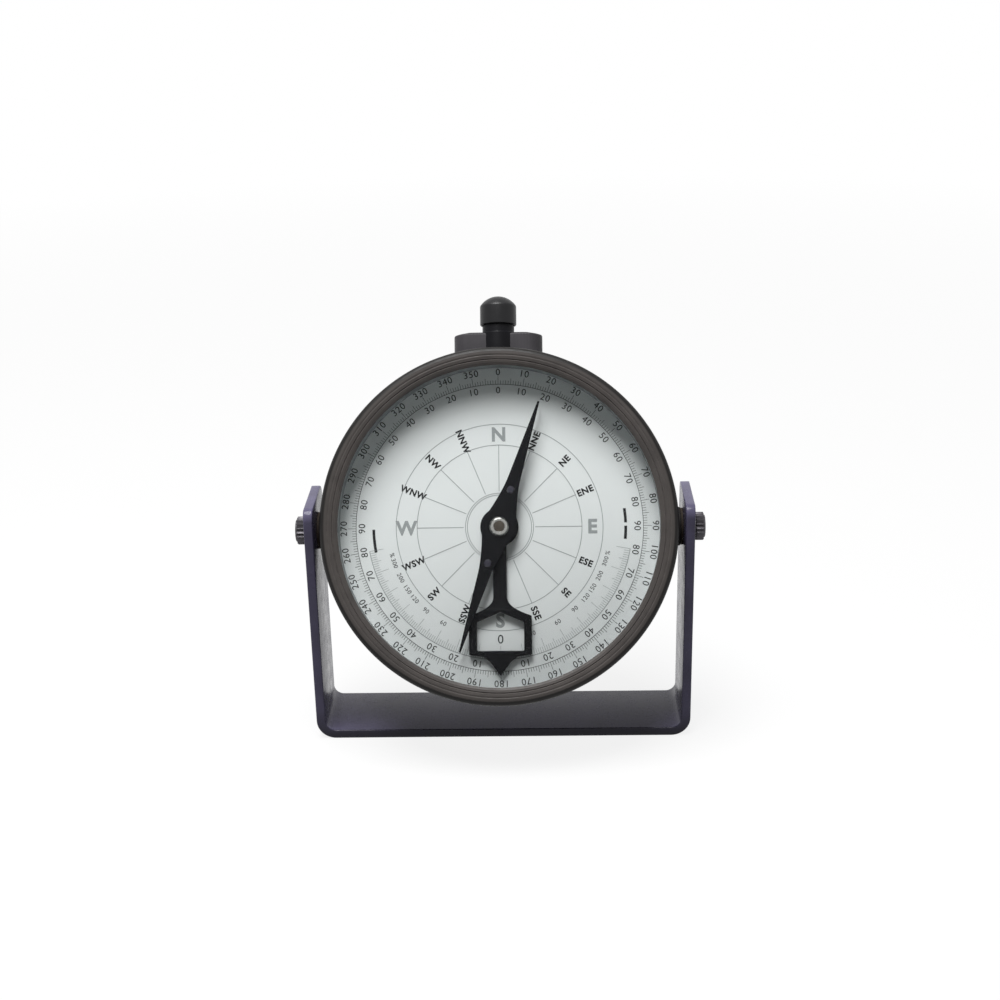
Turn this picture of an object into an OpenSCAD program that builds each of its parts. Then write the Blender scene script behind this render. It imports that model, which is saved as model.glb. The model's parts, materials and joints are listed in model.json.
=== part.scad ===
// Clinometer compass on a U-shaped stand.
// The base stands on the XY plane, the case pivots about an axis along X,
// and the dial faces -Y, leaning back by the angle rest_tilt.

/* [Stand] */
// Gap between the bezel and each arm
arm_gap = 1.5; // [1.2:0.1:5]
// Depth of the flat strip that the stand is bent from
strip_w = 18; // [14:0.5:20]
// Thickness of the strip
strip_t = 2; // [1.5:0.1:2.5]
// Height of the pivot axis over the base's upper face
pivot_h = 44.5; // [43.5:0.5:50]
// Height of the arms' ends over the pivot axis
arm_rise = 7.8; // [6:0.2:10]
// Inside radius of the two bends
bend_r = 2.2; // [1:0.1:4]
// Radius of the corners at the arms' ends
arm_corner_r = 2.5; // [1:0.1:4]
// Width of the chamfer along the base's upper edges
strip_chamfer = 0.3; // [0.1:0.05:0.5]

/* [Case] */
// Angle that the dial leans back from upright
rest_tilt = 25; // [0:1:60]
// Distance from the pivot axis back to the case's rear face
case_back = 10; // [9.2:0.1:11]
// Distance from the pivot axis forward to the bezel's front lip
case_front = 11.5; // [11:0.1:12.5]
// Thickness of the case floor
floor_t = 2; // [1.8:0.1:2.4]
// Wall of the case barrel below the dial ledge
barrel_wall = 3; // [2.6:0.1:3.4]
// Wall of the case barrel above the dial ledge
rim_wall = 1.2; // [1:0.1:1.6]
// Depth of the shallow recess turned in the rear face
back_recess = 0.6; // [0.3:0.1:0.8]
// Width of the rim round that recess
back_rim_w = 6; // [3:0.5:10]
// Chamfer of the rear edge
back_chamfer = 1; // [0.4:0.1:1.5]
// Diameter of the pivot boss on each side
boss_d = 8.4; // [7:0.1:8.6]

/* [Bezel and glass] */
// Outside diameter of the bezel
bezel_d = 76; // [75.4:0.1:77]
// Wall of the bezel's skirt round the barrel
bezel_wall = 1.5; // [1.3:0.1:2]
// Gap between the bezel's rear edge and the pivot bosses
bezel_gap = 0.3; // [0.2:0.1:1]
// Width of the bezel's face, from its outside to its opening
lip_w = 3.9; // [3.5:0.1:5]
// Thickness of the lip over the glass
lip_t = 1; // [0.8:0.1:1.4]
// Rounding of the bezel's outer front edge
bezel_round = 1.2; // [0.6:0.1:1.6]
// Depth of the fine groove turned in the bezel's front face
bezel_groove = 0.25; // [0.1:0.05:0.4]
// Thickness of the glass
glass_t = 1.6; // [1.2:0.1:1.8]
// Thickness of the rubber seal under the glass
seal_t = 0.4; // [0.3:0.1:0.8]

/* [Dial] */
// Thickness of the dial plate
dial_t = 0.8; // [0.5:0.1:1.2]
// Wall of the spacer ring that holds the dial down
ring_wall = 0.9; // [0.6:0.1:1]

/* [Needle] */
// Tip to tip length of the magnetic needle
needle_len = 56.2; // [44:0.2:60]
// Width of the needle at its middle
needle_w = 7.7; // [6:0.1:9]
// Thickness of the needle
needle_t = 0.5; // [0.4:0.05:0.7]
// Angle that the needle's north end points right of the top
needle_heading = 18; // [-180:1:180]
// Diameter of the silver cap
cap_d = 4.2; // [3.8:0.1:5]
// Height of the cap
cap_h = 1.5; // [1.4:0.05:1.6]
// Distance of each balance stud from the middle
stud_at = 8.2; // [7:0.1:10]
// Diameter of the balance studs
stud_d = 1.5; // [1:0.1:1.8]

/* [Pendulum] */
// Gap between the pointer's tip and the dial ring
pend_gap = 2.58; // [1:0.02:4]
// Width of the stalk
stalk_w = 2.9; // [2:0.1:4]
// Outside width of the windowed frame
frame_w = 13.4; // [11:0.1:16]
// Width of the frame's bars
frame_bar = 1.65; // [1:0.05:2.2]
// Height of the frame from its lower edge to its shoulders
frame_h = 8.3; // [6:0.1:10]
// Height of the pointer under the frame
point_h = 4.5; // [3:0.1:6]
// Diameter of the disc round the hub
hub_disc_d = 8.2; // [7:0.1:10]
// Thickness of the stalk and the disc
stalk_t = 0.7; // [0.5:0.05:0.8]
// Thickness of the weighted frame
frame_t = 1.2; // [0.8:0.1:1.4]

/* [Centre stack] */
// Diameter of the pivot post
post_d = 1.6; // [1.2:0.1:1.8]
// Wall of the lifter sleeve
sleeve_wall = 0.5; // [0.4:0.05:0.6]
// Wall of the fixed bush that the pendulum swings on
bush_wall = 0.7; // [0.5:0.05:0.9]
// Wall of the pendulum's hub
hub_wall = 0.9; // [0.6:0.1:1.1]
// Gap between the pendulum's bush and the needle's cap
needle_clear = 0.35; // [0.3:0.05:1]

/* [Arrest button] */
// Diameter of the button's domed cap
button_d = 8; // [7.8:0.1:9]
// Height of the domed cap
button_h = 6.5; // [5.6:0.1:7.5]
// Height of the dome's crown within the cap
button_crown = 2.2; // [1.2:0.1:3]
// Chamfer of the cap's lower edge
button_chamfer = 0.25; // [0.1:0.05:0.3]
// Wall of the cap round the bush's neck
cap_wall = 0.35; // [0.3:0.05:0.6]
// Length of the neck inside the cap at rest
cap_overlap = 1.5; // [0.5:0.1:2]
// Gap between the pressed cap and the saddle's boss
cap_gap = 0.2; // [0.15:0.05:0.6]
// Travel of the button
press = 1.5; // [1:0.1:1.6]
// Diameter of the button's stem
stem_d = 3; // [2.8:0.1:3.2]
// Step from the saddle's round boss in to the neck
neck_step = 0.5; // [0.3:0.05:0.8]
// Width of the saddle that the bush stands on
saddle_w = 19.4; // [18.4:0.1:22]
// Depth of the saddle's wings, from front to back
saddle_depth = 6; // [5:0.5:12]
// Height of the saddle's crest over the barrel
saddle_h = 6.7; // [6:0.1:8]
// Fall of the saddle's shoulders at its ends
saddle_fall = 0.5; // [0.3:0.1:1.5]
// Diameter of the return spring's wire
spring_wire = 0.4; // [0.3:0.05:0.45]
// Number of turns of the return spring
spring_turns = 7; // [5:1:8]

/* [Lifter lever] */
// Gap between the lever's outer end and the barrel
lever_end_gap = 4.3; // [3:0.1:6]
// Width of the lever's strip
lever_w = 6; // [5.6:0.1:7]
// Thickness of the lever's strip
lever_t = 1; // [0.8:0.1:1.2]
// Distance from the pivot axis back to the lever's mid plane
lever_back = 3; // [2:0.1:3.5]
// Diameter of the lever's axle
axle_d = 1.2; // [1:0.1:1.4]
// Diameter of the pin that the button drives
drive_pin_d = 1; // [0.8:0.1:1.1]
// Rise of the sleeve for the button's full travel
lift = 0.7; // [0.4:0.05:0.7]

/* [Clamp screws] */
// Diameter of the fluted heads
head_d = 6.2; // [5.6:0.1:8]
// Thickness of the fluted heads
head_t = 2.4; // [2:0.1:3.5]
// Number of flutes round each head
head_flutes = 18; // [12:1:24]
// Diameter of the screws' shanks
shank_d = 3; // [2.6:0.1:3.2]
// Thickness of the inner friction washers
friction_t = 0.45; // [0.3:0.05:0.8]
// Diameter of the inner friction washers
friction_d = 8; // [7:0.1:8.4]
// Thickness of the outer washers
outer_washer_t = 0.4; // [0.3:0.05:0.6]
// Diameter of the outer washers
outer_washer_d = 5.6; // [5:0.1:6]

/* [Fits] */
// Gap all round a piece that turns or slides in another
run_gap = 0.05; // [0.03:0.01:0.1]
// Gap all round a piece that is seated in another
seat_gap = 0.02; // [0.01:0.01:0.05]
// Gap beside a moving piece that nothing guides
free_gap = 0.3; // [0.25:0.05:0.5]

/* [Hidden] */
$fn = 96;
eps = 0.01;
pivot_z = strip_t + pivot_h;
stand_w = bezel_d + 2 * (arm_gap + strip_t);
arm_inner = stand_w / 2 - strip_t;
bezel_r = bezel_d / 2;
lip_r = bezel_r - lip_w;
case_r = bezel_r - bezel_wall;
barrel_r = case_r - barrel_wall;
rim_r = case_r - rim_wall;
ring_in = rim_r - seat_gap - ring_wall;
glass_r = case_r - 0.1;

// Heights along the dial's normal, from the pivot axis towards the viewer
hub_rise = 0.3;
pend_rise = 0.5;
clip_t = 0.35;
bush_rise = pend_rise + stalk_t + hub_rise + run_gap + clip_t;
dial_room = bush_rise + needle_clear + cap_h + lift + run_gap;
floor_z = -case_back + floor_t;
glass_top_z = case_front - lip_t;
glass_z = glass_top_z - seat_gap - glass_t;
dial_z = glass_z - dial_room;
ledge_z = dial_z - dial_t;
rim_z = glass_z - seal_t;
bezel_z = boss_d / 2 + bezel_gap;

// The stack of pieces round the dial's centre
post_r = post_d / 2;
sleeve_in = post_r + run_gap;
sleeve_r = sleeve_in + sleeve_wall;
bush_in = sleeve_r + run_gap;
bush_r = bush_in + bush_wall;
hub_in = bush_r + run_gap;
hub_r = hub_in + hub_wall;
pend_z = dial_z + pend_rise;
hub_top_z = pend_z + stalk_t + hub_rise;
clip_w = 0.9;
bush_top_z = dial_z + bush_rise;
cap_top_z = glass_z - lift - run_gap;
cap_z = cap_top_z - cap_h;
needle_z = cap_z + 0.25;
post_tip_z = cap_top_z - 0.35;
sleeve_top_z = cap_z - run_gap;
bush_flange_r = bush_r + 1.4;
bush_flange_t = 0.6;
post_base_r = 4;
post_base_t = 1.2;
post_shank_r = 1.5;
floor_skin = 0.6;
blind_depth = floor_t - back_recess - floor_skin;
cone_len = 1.4;

// The pendulum, from its pivot down
pend_tip = ring_in - pend_gap;
frame_bottom = pend_tip - point_h;
frame_top = frame_bottom - frame_h;

// The lever, its axle and the sleeve's flange
cheek_r = 1.2;
lever_arm = (barrel_r - lever_end_gap - cheek_r) / 2;
lever_z = -lever_back;
lever_y = lever_arm;
lever_knuckle_r = axle_d / 2 + run_gap + 0.65;
lever_bump_r = 0.9;
lever_swing = asin(lift / lever_arm);
flange_z = lever_z + lever_bump_r + run_gap;
flange_r = 3.4;
flange_t = 0.6;
fork_gap = sleeve_r + free_gap;
fork_end = 2.6;
blade_t = 1.4;
cheek_gap = blade_t / 2 + free_gap;
cheek_t = 1;
cheek_start = 2.1;
stand_ear_t = 1;
stand_base_t = 0.8;
stand_len = 11;
stand_ear_x = lever_w / 2 + free_gap;
stand_screw_at = 4;
stand_screw_r = 0.6;
stand_screw_head_r = 1.1;
stand_screw_head_t = 0.7;

// The button, its bush and its spring
button_z = lever_z - lift / 2;
saddle_top = case_r + saddle_h;
cap_bottom_y = saddle_top + press + cap_gap;
button_top = cap_bottom_y + button_h;
neck_top_y = cap_bottom_y + cap_overlap;
cap_ceiling_y = neck_top_y + press + 0.1;
cap_bore_r = button_d / 2 - cap_wall;
neck_r = cap_bore_r - 3 * run_gap;
saddle_boss_r = neck_r + neck_step;
stem_r = stem_d / 2;
stem_bore_r = stem_r + run_gap;
blade_top_y = 2 * lever_arm + cheek_r + press + free_gap;
blade_end_y = 2 * lever_arm - 2.4;
spring_seat_y = case_r + 2.5;
spring_r = stem_r + 0.25 + spring_wire / 2;
spring_well_r = spring_r + spring_wire / 2 + 0.2;
spigot_r = spring_well_r + 0.45;
saddle_screw_at = 6.4;
saddle_screw_r = 0.8;
saddle_screw_head_r = 1.5;
saddle_screw_head_t = 0.8;
saddle_screw_end = case_r - 2;

// The clamp screws along X
boss_face = arm_inner - run_gap - friction_t;
shank_r = shank_d / 2;
shank_bore_r = shank_r + run_gap;
arm_bore_r = shank_r + 2 * run_gap;
head_x = stand_w / 2 + outer_washer_t + run_gap;
shank_end = barrel_r + 0.5;

// Places a piece that is modelled with X right, Y up the dial and Z out of it
module in_case() {
    translate([0, 0, pivot_z]) rotate([90 - rest_tilt, 0, 0]) children();
}

// Stands a turned profile, drawn as radius and height, on the +X side of the pivot axis
module along_x(side) {
    translate([0, 0, pivot_z]) mirror([side < 0 ? 1 : 0, 0, 0]) rotate([0, 90, 0])
        children();
}

// Turns a profile about the button's axis, with its height running up the dial
module along_button() {
    translate([0, 0, button_z]) rotate([-90, 0, 0]) children();
}

module tube(r_out, r_in, z0, z1) {
    translate([0, 0, z0]) difference() {
        cylinder(r = r_out, h = z1 - z0);
        translate([0, 0, -1]) cylinder(r = r_in, h = z1 - z0 + 2);
    }
}

module washer(side, x, t, d) {
    along_x(side) tube(d / 2, arm_bore_r, x, x + t);
}

// A quarter ring of the strip round a bend, seen along the depth
module bend_profile() {
    intersection() {
        difference() {
            circle(r = bend_r + strip_t);
            circle(r = bend_r);
        }
        translate([0, -bend_r - strip_t]) square([bend_r + strip_t, bend_r + strip_t]);
    }
}

module bracket_profile() {
    bend_x = stand_w / 2 - bend_r - strip_t;
    translate([-bend_x, 0]) square([2 * bend_x, strip_t]);
    for (side = [0, 1]) mirror([side, 0]) {
        translate([bend_x, bend_r + strip_t]) bend_profile();
        translate([arm_inner, bend_r + strip_t])
            square([strip_t, pivot_z + arm_rise - bend_r - strip_t]);
    }
}

// The outline of the arms seen from the side, with rounded upper corners
module arm_side_profile() {
    top = pivot_z + arm_rise;
    translate([-strip_w / 2, -eps]) square([strip_w, top - arm_corner_r + eps]);
    translate([-strip_w / 2 + arm_corner_r, 0])
        square([strip_w - 2 * arm_corner_r, top]);
    for (side = [-1, 1])
        translate([side * (strip_w / 2 - arm_corner_r), top - arm_corner_r])
            circle(r = arm_corner_r);
}

module bracket() {
    color([0.28, 0.27, 0.33])
    difference() {
        intersection() {
            rotate([90, 0, 0]) linear_extrude(height = strip_w, center = true)
                bracket_profile();
            rotate([90, 0, 90]) linear_extrude(height = stand_w + 2, center = true)
                arm_side_profile();
        }
        translate([0, 0, pivot_z]) rotate([0, 90, 0])
            cylinder(r = arm_bore_r, h = stand_w + 2, center = true);
        for (side = [-1, 1]) translate([0, side * strip_w / 2, strip_t]) rotate([45, 0, 0])
            cube([2 * (arm_inner - bend_r), strip_chamfer, strip_chamfer], center = true);
    }
}

module left_outer_washer() {
    color([0.55, 0.54, 0.55]) washer(-1, stand_w / 2, outer_washer_t, outer_washer_d);
}

module right_outer_washer() {
    color([0.55, 0.54, 0.55]) washer(1, stand_w / 2, outer_washer_t, outer_washer_d);
}

module left_friction_washer() {
    color([0.16, 0.15, 0.15]) washer(-1, boss_face, friction_t, friction_d);
}

module right_friction_washer() {
    color([0.16, 0.15, 0.15]) washer(1, boss_face, friction_t, friction_d);
}

// Half section of the case cup, as radius and height
module case_profile() {
    polygon([
        [0, -case_back + back_recess],
        [case_r - back_rim_w, -case_back + back_recess],
        [case_r - back_rim_w + back_recess, -case_back],
        [case_r - back_chamfer, -case_back],
        [case_r, -case_back + back_chamfer],
        [case_r, rim_z],
        [rim_r, rim_z],
        [rim_r, ledge_z],
        [barrel_r, ledge_z],
        [barrel_r, floor_z],
        [0, floor_z]
    ]);
}

module case_body() {
    color([0.2, 0.19, 0.18])
    in_case() difference() {
        union() {
            rotate_extrude() case_profile();
            for (side = [0, 1]) mirror([side, 0, 0]) rotate([0, 90, 0]) difference() {
                cylinder(r = boss_d / 2, h = boss_face);
                translate([0, 0, -1]) cylinder(r = boss_d, h = (rim_r + case_r) / 2 + 1);
            }
        }
        rotate([0, 90, 0]) cylinder(r = shank_bore_r, h = 2 * boss_face + 2, center = true);
        translate([0, 0, floor_z - blind_depth - seat_gap])
            cylinder(r = post_shank_r + seat_gap, h = floor_t + 1);
        along_button() cylinder(r = spigot_r + seat_gap, h = case_r + 5);
        for (side = [-1, 1]) {
            translate([side * saddle_screw_at, 0, 0]) along_button()
                cylinder(r = saddle_screw_r + seat_gap, h = case_r + 5);
            translate([0, lever_y + side * stand_screw_at, floor_z - blind_depth - seat_gap])
                cylinder(r = stand_screw_r + seat_gap, h = floor_t + 1);
        }
    }
}

// Half section of the bezel: a skirt round the barrel and a lip over the glass
module bezel_profile() {
    skirt_in = case_r + seat_gap;
    face_fall = 0.5;
    difference() {
        union() {
            polygon([
                [skirt_in, bezel_z],
                [bezel_r - 0.3, bezel_z],
                [bezel_r, bezel_z + 0.3],
                [bezel_r, case_front - bezel_round],
                [bezel_r - bezel_round, case_front],
                [lip_r + 0.6, case_front - face_fall / 2],
                [lip_r, case_front - face_fall],
                [lip_r, glass_top_z],
                [skirt_in, glass_top_z]
            ]);
            translate([bezel_r - bezel_round, case_front - bezel_round]) intersection() {
                circle(r = bezel_round);
                square(bezel_round);
            }
        }
        translate([(bezel_r + lip_r) / 2, case_front - bezel_groove])
            square([0.3, 1]);
        translate([(bezel_r + lip_r) / 2 - 0.9, case_front - bezel_groove - 0.1])
            square([0.2, 1]);
    }
}

module bezel_ring() {
    color([0.27, 0.25, 0.24]) in_case() rotate_extrude() bezel_profile();
}

module glass() {
    color([0.85, 0.92, 0.95, 0.25]) in_case() translate([0, 0, glass_z])
        cylinder(r = glass_r, h = glass_t);
}

module glass_seal() {
    color([0.05, 0.05, 0.05]) in_case() tube(glass_r, rim_r, rim_z, glass_z);
}

module dial_ring() {
    color([0.3, 0.29, 0.28]) in_case()
        tube(rim_r - seat_gap, ring_in, dial_z, glass_z);
}

module dial_plate() {
    color([0.86, 0.87, 0.87]) in_case() tube(rim_r - seat_gap, bush_r + seat_gap, ledge_z, dial_z);
}

// The post stands on the case floor, and its point carries the needle
module pivot_post() {
    color([0.7, 0.7, 0.72]) in_case() rotate_extrude() polygon([
        [0, floor_z - blind_depth],
        [post_shank_r, floor_z - blind_depth],
        [post_shank_r, floor_z],
        [post_base_r, floor_z],
        [post_base_r, floor_z + post_base_t],
        [post_r, floor_z + post_base_t],
        [post_r, post_tip_z - cone_len],
        [0, post_tip_z]
    ]);
}

module pendulum_bush() {
    color([0.72, 0.58, 0.3]) in_case() {
        tube(bush_flange_r, bush_in, ledge_z - bush_flange_t, ledge_z);
        tube(bush_r, bush_in, ledge_z - eps, bush_top_z);
    }
}

module bush_clip() {
    color([0.2, 0.2, 0.22]) in_case()
        tube(bush_r + clip_w, bush_r + seat_gap, bush_top_z - clip_t, bush_top_z);
}

module lifter_sleeve() {
    color([0.75, 0.72, 0.6]) in_case() {
        tube(flange_r, sleeve_in, flange_z, flange_z + flange_t);
        tube(sleeve_r, sleeve_in, flange_z + flange_t - eps, sleeve_top_z);
    }
}

// Front view of the saddle, with shoulders that fall to its ends
module saddle_front() {
    half = saddle_w / 2;
    difference() {
        polygon([
            [-half, case_r - 3], [half, case_r - 3],
            [half, saddle_top - saddle_fall - 0.5],
            [half - 0.5, saddle_top - saddle_fall],
            [saddle_boss_r, saddle_top], [-saddle_boss_r, saddle_top],
            [-half + 0.5, saddle_top - saddle_fall],
            [-half, saddle_top - saddle_fall - 0.5]
        ]);
        circle(r = case_r + seat_gap);
    }
}

// Top view of the saddle: a bar with round ends, and a round boss in its middle
module saddle_plan() {
    end_r = saddle_depth / 2;
    for (side = [-1, 1]) translate([side * (saddle_w / 2 - end_r), 0]) circle(r = end_r);
    square([saddle_w - 2 * end_r, saddle_depth], center = true);
    circle(r = saddle_boss_r);
}

module arrest_bush() {
    depth = max(saddle_depth, 2 * saddle_boss_r);
    color([0.25, 0.24, 0.23])
    in_case() difference() {
        union() {
            intersection() {
                translate([0, 0, button_z - depth / 2])
                    linear_extrude(height = depth) saddle_front();
                along_button() linear_extrude(height = saddle_top + 1) saddle_plan();
            }
            along_button() rotate_extrude() polygon([
                [0, barrel_r + 0.6],
                [spigot_r, barrel_r + 0.6],
                [spigot_r, saddle_top - 1],
                [neck_r, saddle_top - 1],
                [neck_r, neck_top_y - 0.3],
                [neck_r - 0.3, neck_top_y],
                [0, neck_top_y]
            ]);
        }
        along_button() cylinder(r = stem_bore_r, h = button_top);
        along_button() translate([0, 0, spring_seat_y])
            cylinder(r = spring_well_r, h = button_top - spring_seat_y);
        for (side = [-1, 1]) translate([side * saddle_screw_at, 0, 0]) along_button() {
            cylinder(r = saddle_screw_r + seat_gap, h = button_top);
            translate([0, 0, saddle_top - saddle_fall - saddle_screw_head_t])
                cylinder(r = saddle_screw_head_r + 2 * seat_gap, h = 10);
        }
    }
}

module arrest_bush_screws() {
    head_y = saddle_top - saddle_fall - saddle_screw_head_t;
    color([0.35, 0.34, 0.34]) in_case() for (side = [-1, 1])
        translate([side * saddle_screw_at, 0, 0]) along_button() difference() {
            union() {
                translate([0, 0, head_y])
                    cylinder(r = saddle_screw_head_r, h = saddle_screw_head_t);
                translate([0, 0, saddle_screw_end])
                    cylinder(r = saddle_screw_r, h = head_y - saddle_screw_end + eps);
            }
            translate([0, 0, head_y + saddle_screw_head_t])
                cube([2 * saddle_screw_head_r + 1, 0.4, 0.7], center = true);
        }
}

// The button: a domed cap, and a stem whose flattened end has the slanted slot
module arrest_button() {
    dome_r = (pow(button_d / 2, 2) + pow(button_crown, 2)) / (2 * button_crown);
    slot_r = drive_pin_d / 2 + 1.5 * run_gap;
    slot_slope = atan(lift / press);
    slot_over = 0.15;
    color([0.06, 0.06, 0.07])
    in_case() difference() {
        union() {
            along_button() rotate_extrude() difference() {
                intersection() {
                    polygon([
                        [0, cap_bottom_y],
                        [button_d / 2 - button_chamfer, cap_bottom_y],
                        [button_d / 2, cap_bottom_y + button_chamfer],
                        [button_d / 2, button_top],
                        [0, button_top]
                    ]);
                    translate([0, button_top - dome_r]) circle(r = dome_r);
                }
                translate([-1, cap_bottom_y - 1])
                    square([cap_bore_r + 1, cap_ceiling_y - cap_bottom_y + 1]);
            }
            along_button() translate([0, 0, blade_end_y])
                cylinder(r = stem_r, h = cap_ceiling_y - blade_end_y + eps);
        }
        for (side = [-1, 1]) translate([side * (blade_t / 2 + 2), blade_end_y, button_z])
            cube([4, 2 * (blade_top_y - blade_end_y), 2 * stem_d], center = true);
        translate([0, 2 * lever_arm + press / 2, button_z]) rotate([-slot_slope, 0, 0]) {
            slot_half = norm([press, lift]) / 2 + slot_over;
            cube([stem_d + 2, 2 * slot_half, 2 * slot_r], center = true);
            for (side = [-1, 1]) translate([0, side * slot_half, 0]) rotate([0, 90, 0])
                cylinder(r = slot_r, h = stem_d + 2, center = true);
        }
    }
}

spring_pitch = (cap_ceiling_y - spring_seat_y - spring_wire - 2 * seat_gap) / spring_turns;
spring_rings = 8 * spring_turns;

// Points round a tube's section at one place along the return spring
function spring_point(turn, corner) =
    let (
        a = 360 * turn,
        b = 60 * corner,
        rise = spring_seat_y + spring_wire / 2 + seat_gap + spring_pitch * turn,
        r = spring_r + spring_wire / 2 * cos(b)
    )
    [r * cos(a), r * sin(a), rise + spring_wire / 2 * sin(b)];

echo(least_gap_between_spring_turns = spring_pitch - spring_wire);

module button_spring() {
    color([0.6, 0.6, 0.62])
    in_case() along_button() polyhedron(
        points = [for (i = [0:spring_rings], k = [0:5]) spring_point(i / 8, k)],
        faces = concat(
            [for (i = [0:spring_rings - 1], k = [0:5])
                [6 * i + k, 6 * i + (k + 1) % 6, 6 * i + 6 + (k + 1) % 6]],
            [for (i = [0:spring_rings - 1], k = [0:5])
                [6 * i + k, 6 * i + 6 + (k + 1) % 6, 6 * i + 6 + k]],
            [for (k = [1:4]) [0, k + 1, k]],
            [for (k = [1:4]) [6 * spring_rings, 6 * spring_rings + k, 6 * spring_rings + k + 1]]
        )
    );
}

// The lever: a strip with a knuckle, a fork round the sleeve and two cheeks at the button
module lifter_lever() {
    strip_end = lever_arm - cheek_start;
    color([0.62, 0.6, 0.56])
    in_case() translate([0, lever_y, lever_z]) difference() {
        union() {
            translate([-lever_w / 2, -lever_arm - fork_end, -lever_t / 2])
                cube([lever_w, lever_arm + fork_end + strip_end, lever_t]);
            rotate([0, 90, 0]) cylinder(r = lever_knuckle_r, h = lever_w, center = true);
            translate([0, -lever_arm, 0]) rotate([0, 90, 0])
                cylinder(r = lever_bump_r, h = lever_w, center = true);
            for (side = [-1, 1]) translate([side * (cheek_gap + cheek_t / 2), 0, 0]) {
                translate([-cheek_t / 2, strip_end - 2.5, -cheek_r])
                    cube([cheek_t, cheek_start + 2.5, 2 * cheek_r]);
                translate([0, lever_arm, 0]) rotate([0, 90, 0])
                    cylinder(r = cheek_r, h = cheek_t, center = true);
            }
        }
        rotate([0, 90, 0]) cylinder(r = axle_d / 2 + run_gap, h = lever_w + 2, center = true);
        translate([0, lever_arm, 0]) rotate([0, 90, 0])
            cylinder(r = drive_pin_d / 2 + seat_gap, h = lever_w + 2, center = true);
        translate([-cheek_gap, strip_end - 2.5, -2 * cheek_r])
            cube([2 * cheek_gap, 10, 4 * cheek_r]);
        translate([0, -lever_arm, -5]) cylinder(r = fork_gap, h = 10);
        translate([-fork_gap, -lever_arm - 10, -5]) cube([2 * fork_gap, 10, 10]);
    }
}

module lever_drive_pin() {
    color([0.7, 0.7, 0.72]) in_case() translate([0, lever_y + lever_arm, lever_z])
        rotate([0, 90, 0]) cylinder(r = drive_pin_d / 2, h = 2 * (cheek_gap + cheek_t), center = true);
}

module lever_axle() {
    color([0.7, 0.7, 0.72]) in_case() translate([0, lever_y, lever_z]) rotate([0, 90, 0])
        cylinder(r = axle_d / 2, h = 2 * (stand_ear_x + stand_ear_t) + 0.4, center = true);
}

// The stand for the lever's axle: a base plate with two ears
module lever_stand() {
    ear_half = 2;
    color([0.7, 0.6, 0.35])
    in_case() translate([0, lever_y, 0]) difference() {
        union() {
            translate([-stand_ear_x - stand_ear_t, -stand_len / 2, floor_z])
                cube([2 * (stand_ear_x + stand_ear_t), stand_len, stand_base_t]);
            for (side = [-1, 1])
                translate([side * (stand_ear_x + stand_ear_t / 2), 0, 0]) {
                    translate([-stand_ear_t / 2, -ear_half, floor_z])
                        cube([stand_ear_t, 2 * ear_half, lever_z - floor_z]);
                    translate([0, 0, lever_z]) rotate([0, 90, 0])
                        cylinder(r = ear_half, h = stand_ear_t, center = true);
                }
        }
        translate([0, 0, lever_z]) rotate([0, 90, 0])
            cylinder(r = axle_d / 2 + seat_gap, h = 4 * stand_ear_x, center = true);
        for (side = [-1, 1]) translate([0, side * stand_screw_at, floor_z - 1])
            cylinder(r = stand_screw_r + seat_gap, h = stand_base_t + 2);
    }
}

module lever_stand_screws() {
    color([0.5, 0.5, 0.52]) in_case() for (side = [-1, 1])
        translate([0, lever_y + side * stand_screw_at, floor_z]) {
            translate([0, 0, -blind_depth])
                cylinder(r = stand_screw_r, h = blind_depth + stand_base_t + eps);
            translate([0, 0, stand_base_t])
                cylinder(r = stand_screw_head_r, h = stand_screw_head_t);
        }
}

// Half the needle's width at a distance from its middle, hollow towards the tip
function needle_half(s) =
    let (tip = needle_len / 2, tip_half = 0.2)
    tip_half + (needle_w / 2 - tip_half) * pow(1 - s / tip, 1.45);

module needle_outline() {
    tip = needle_len / 2;
    steps = 10;
    right = [for (i = [-steps:steps]) [needle_half(abs(i) * tip / steps), i * tip / steps]];
    left = [for (i = [-steps:steps]) [-needle_half(abs(i) * tip / steps), -i * tip / steps]];
    polygon(concat(right, left));
}

module on_needle() {
    in_case() rotate([0, 0, -needle_heading]) children();
}

module needle() {
    color([0.1, 0.1, 0.12])
    on_needle() translate([0, 0, needle_z]) difference() {
        linear_extrude(height = needle_t) needle_outline();
        translate([0, 0, -1]) cylinder(r = cap_d / 2 - 0.6 + seat_gap, h = 3);
        for (side = [-1, 1]) translate([0, side * stud_at, -1])
            cylinder(r = stud_d / 2 + seat_gap, h = 3);
    }
}

module needle_studs() {
    color([0.25, 0.24, 0.26])
    on_needle() for (side = [-1, 1]) translate([0, side * stud_at, needle_z])
        cylinder(r = stud_d / 2, h = needle_t + 0.1);
}

// The cap: a silver cup whose shoulder rests on the needle
module needle_cap() {
    color([0.75, 0.75, 0.74])
    in_case() rotate_extrude() polygon([
        [post_r + 0.3, cap_z],
        [cap_d / 2 - 0.6, cap_z],
        [cap_d / 2 - 0.6, needle_z + needle_t + seat_gap],
        [cap_d / 2, needle_z + needle_t + seat_gap],
        [cap_d / 2, cap_top_z - 0.45],
        [cap_d / 2 - 0.35, cap_top_z - 0.12],
        [cap_d / 2 - 0.9, cap_top_z],
        [0, cap_top_z],
        [0, cap_top_z - 0.12],
        [post_r + 0.3, cap_top_z - 0.12]
    ]);
}

module needle_jewel() {
    jewel_r = post_r + 0.3 - seat_gap;
    jewel_top = cap_top_z - 0.12 - seat_gap;
    color([0.7, 0.15, 0.25])
    in_case() rotate_extrude() polygon([
        [0, post_tip_z + run_gap],
        [jewel_r - 0.12, post_tip_z - 0.75],
        [jewel_r, post_tip_z - 0.75],
        [jewel_r, jewel_top],
        [0, jewel_top]
    ]);
}

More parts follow.
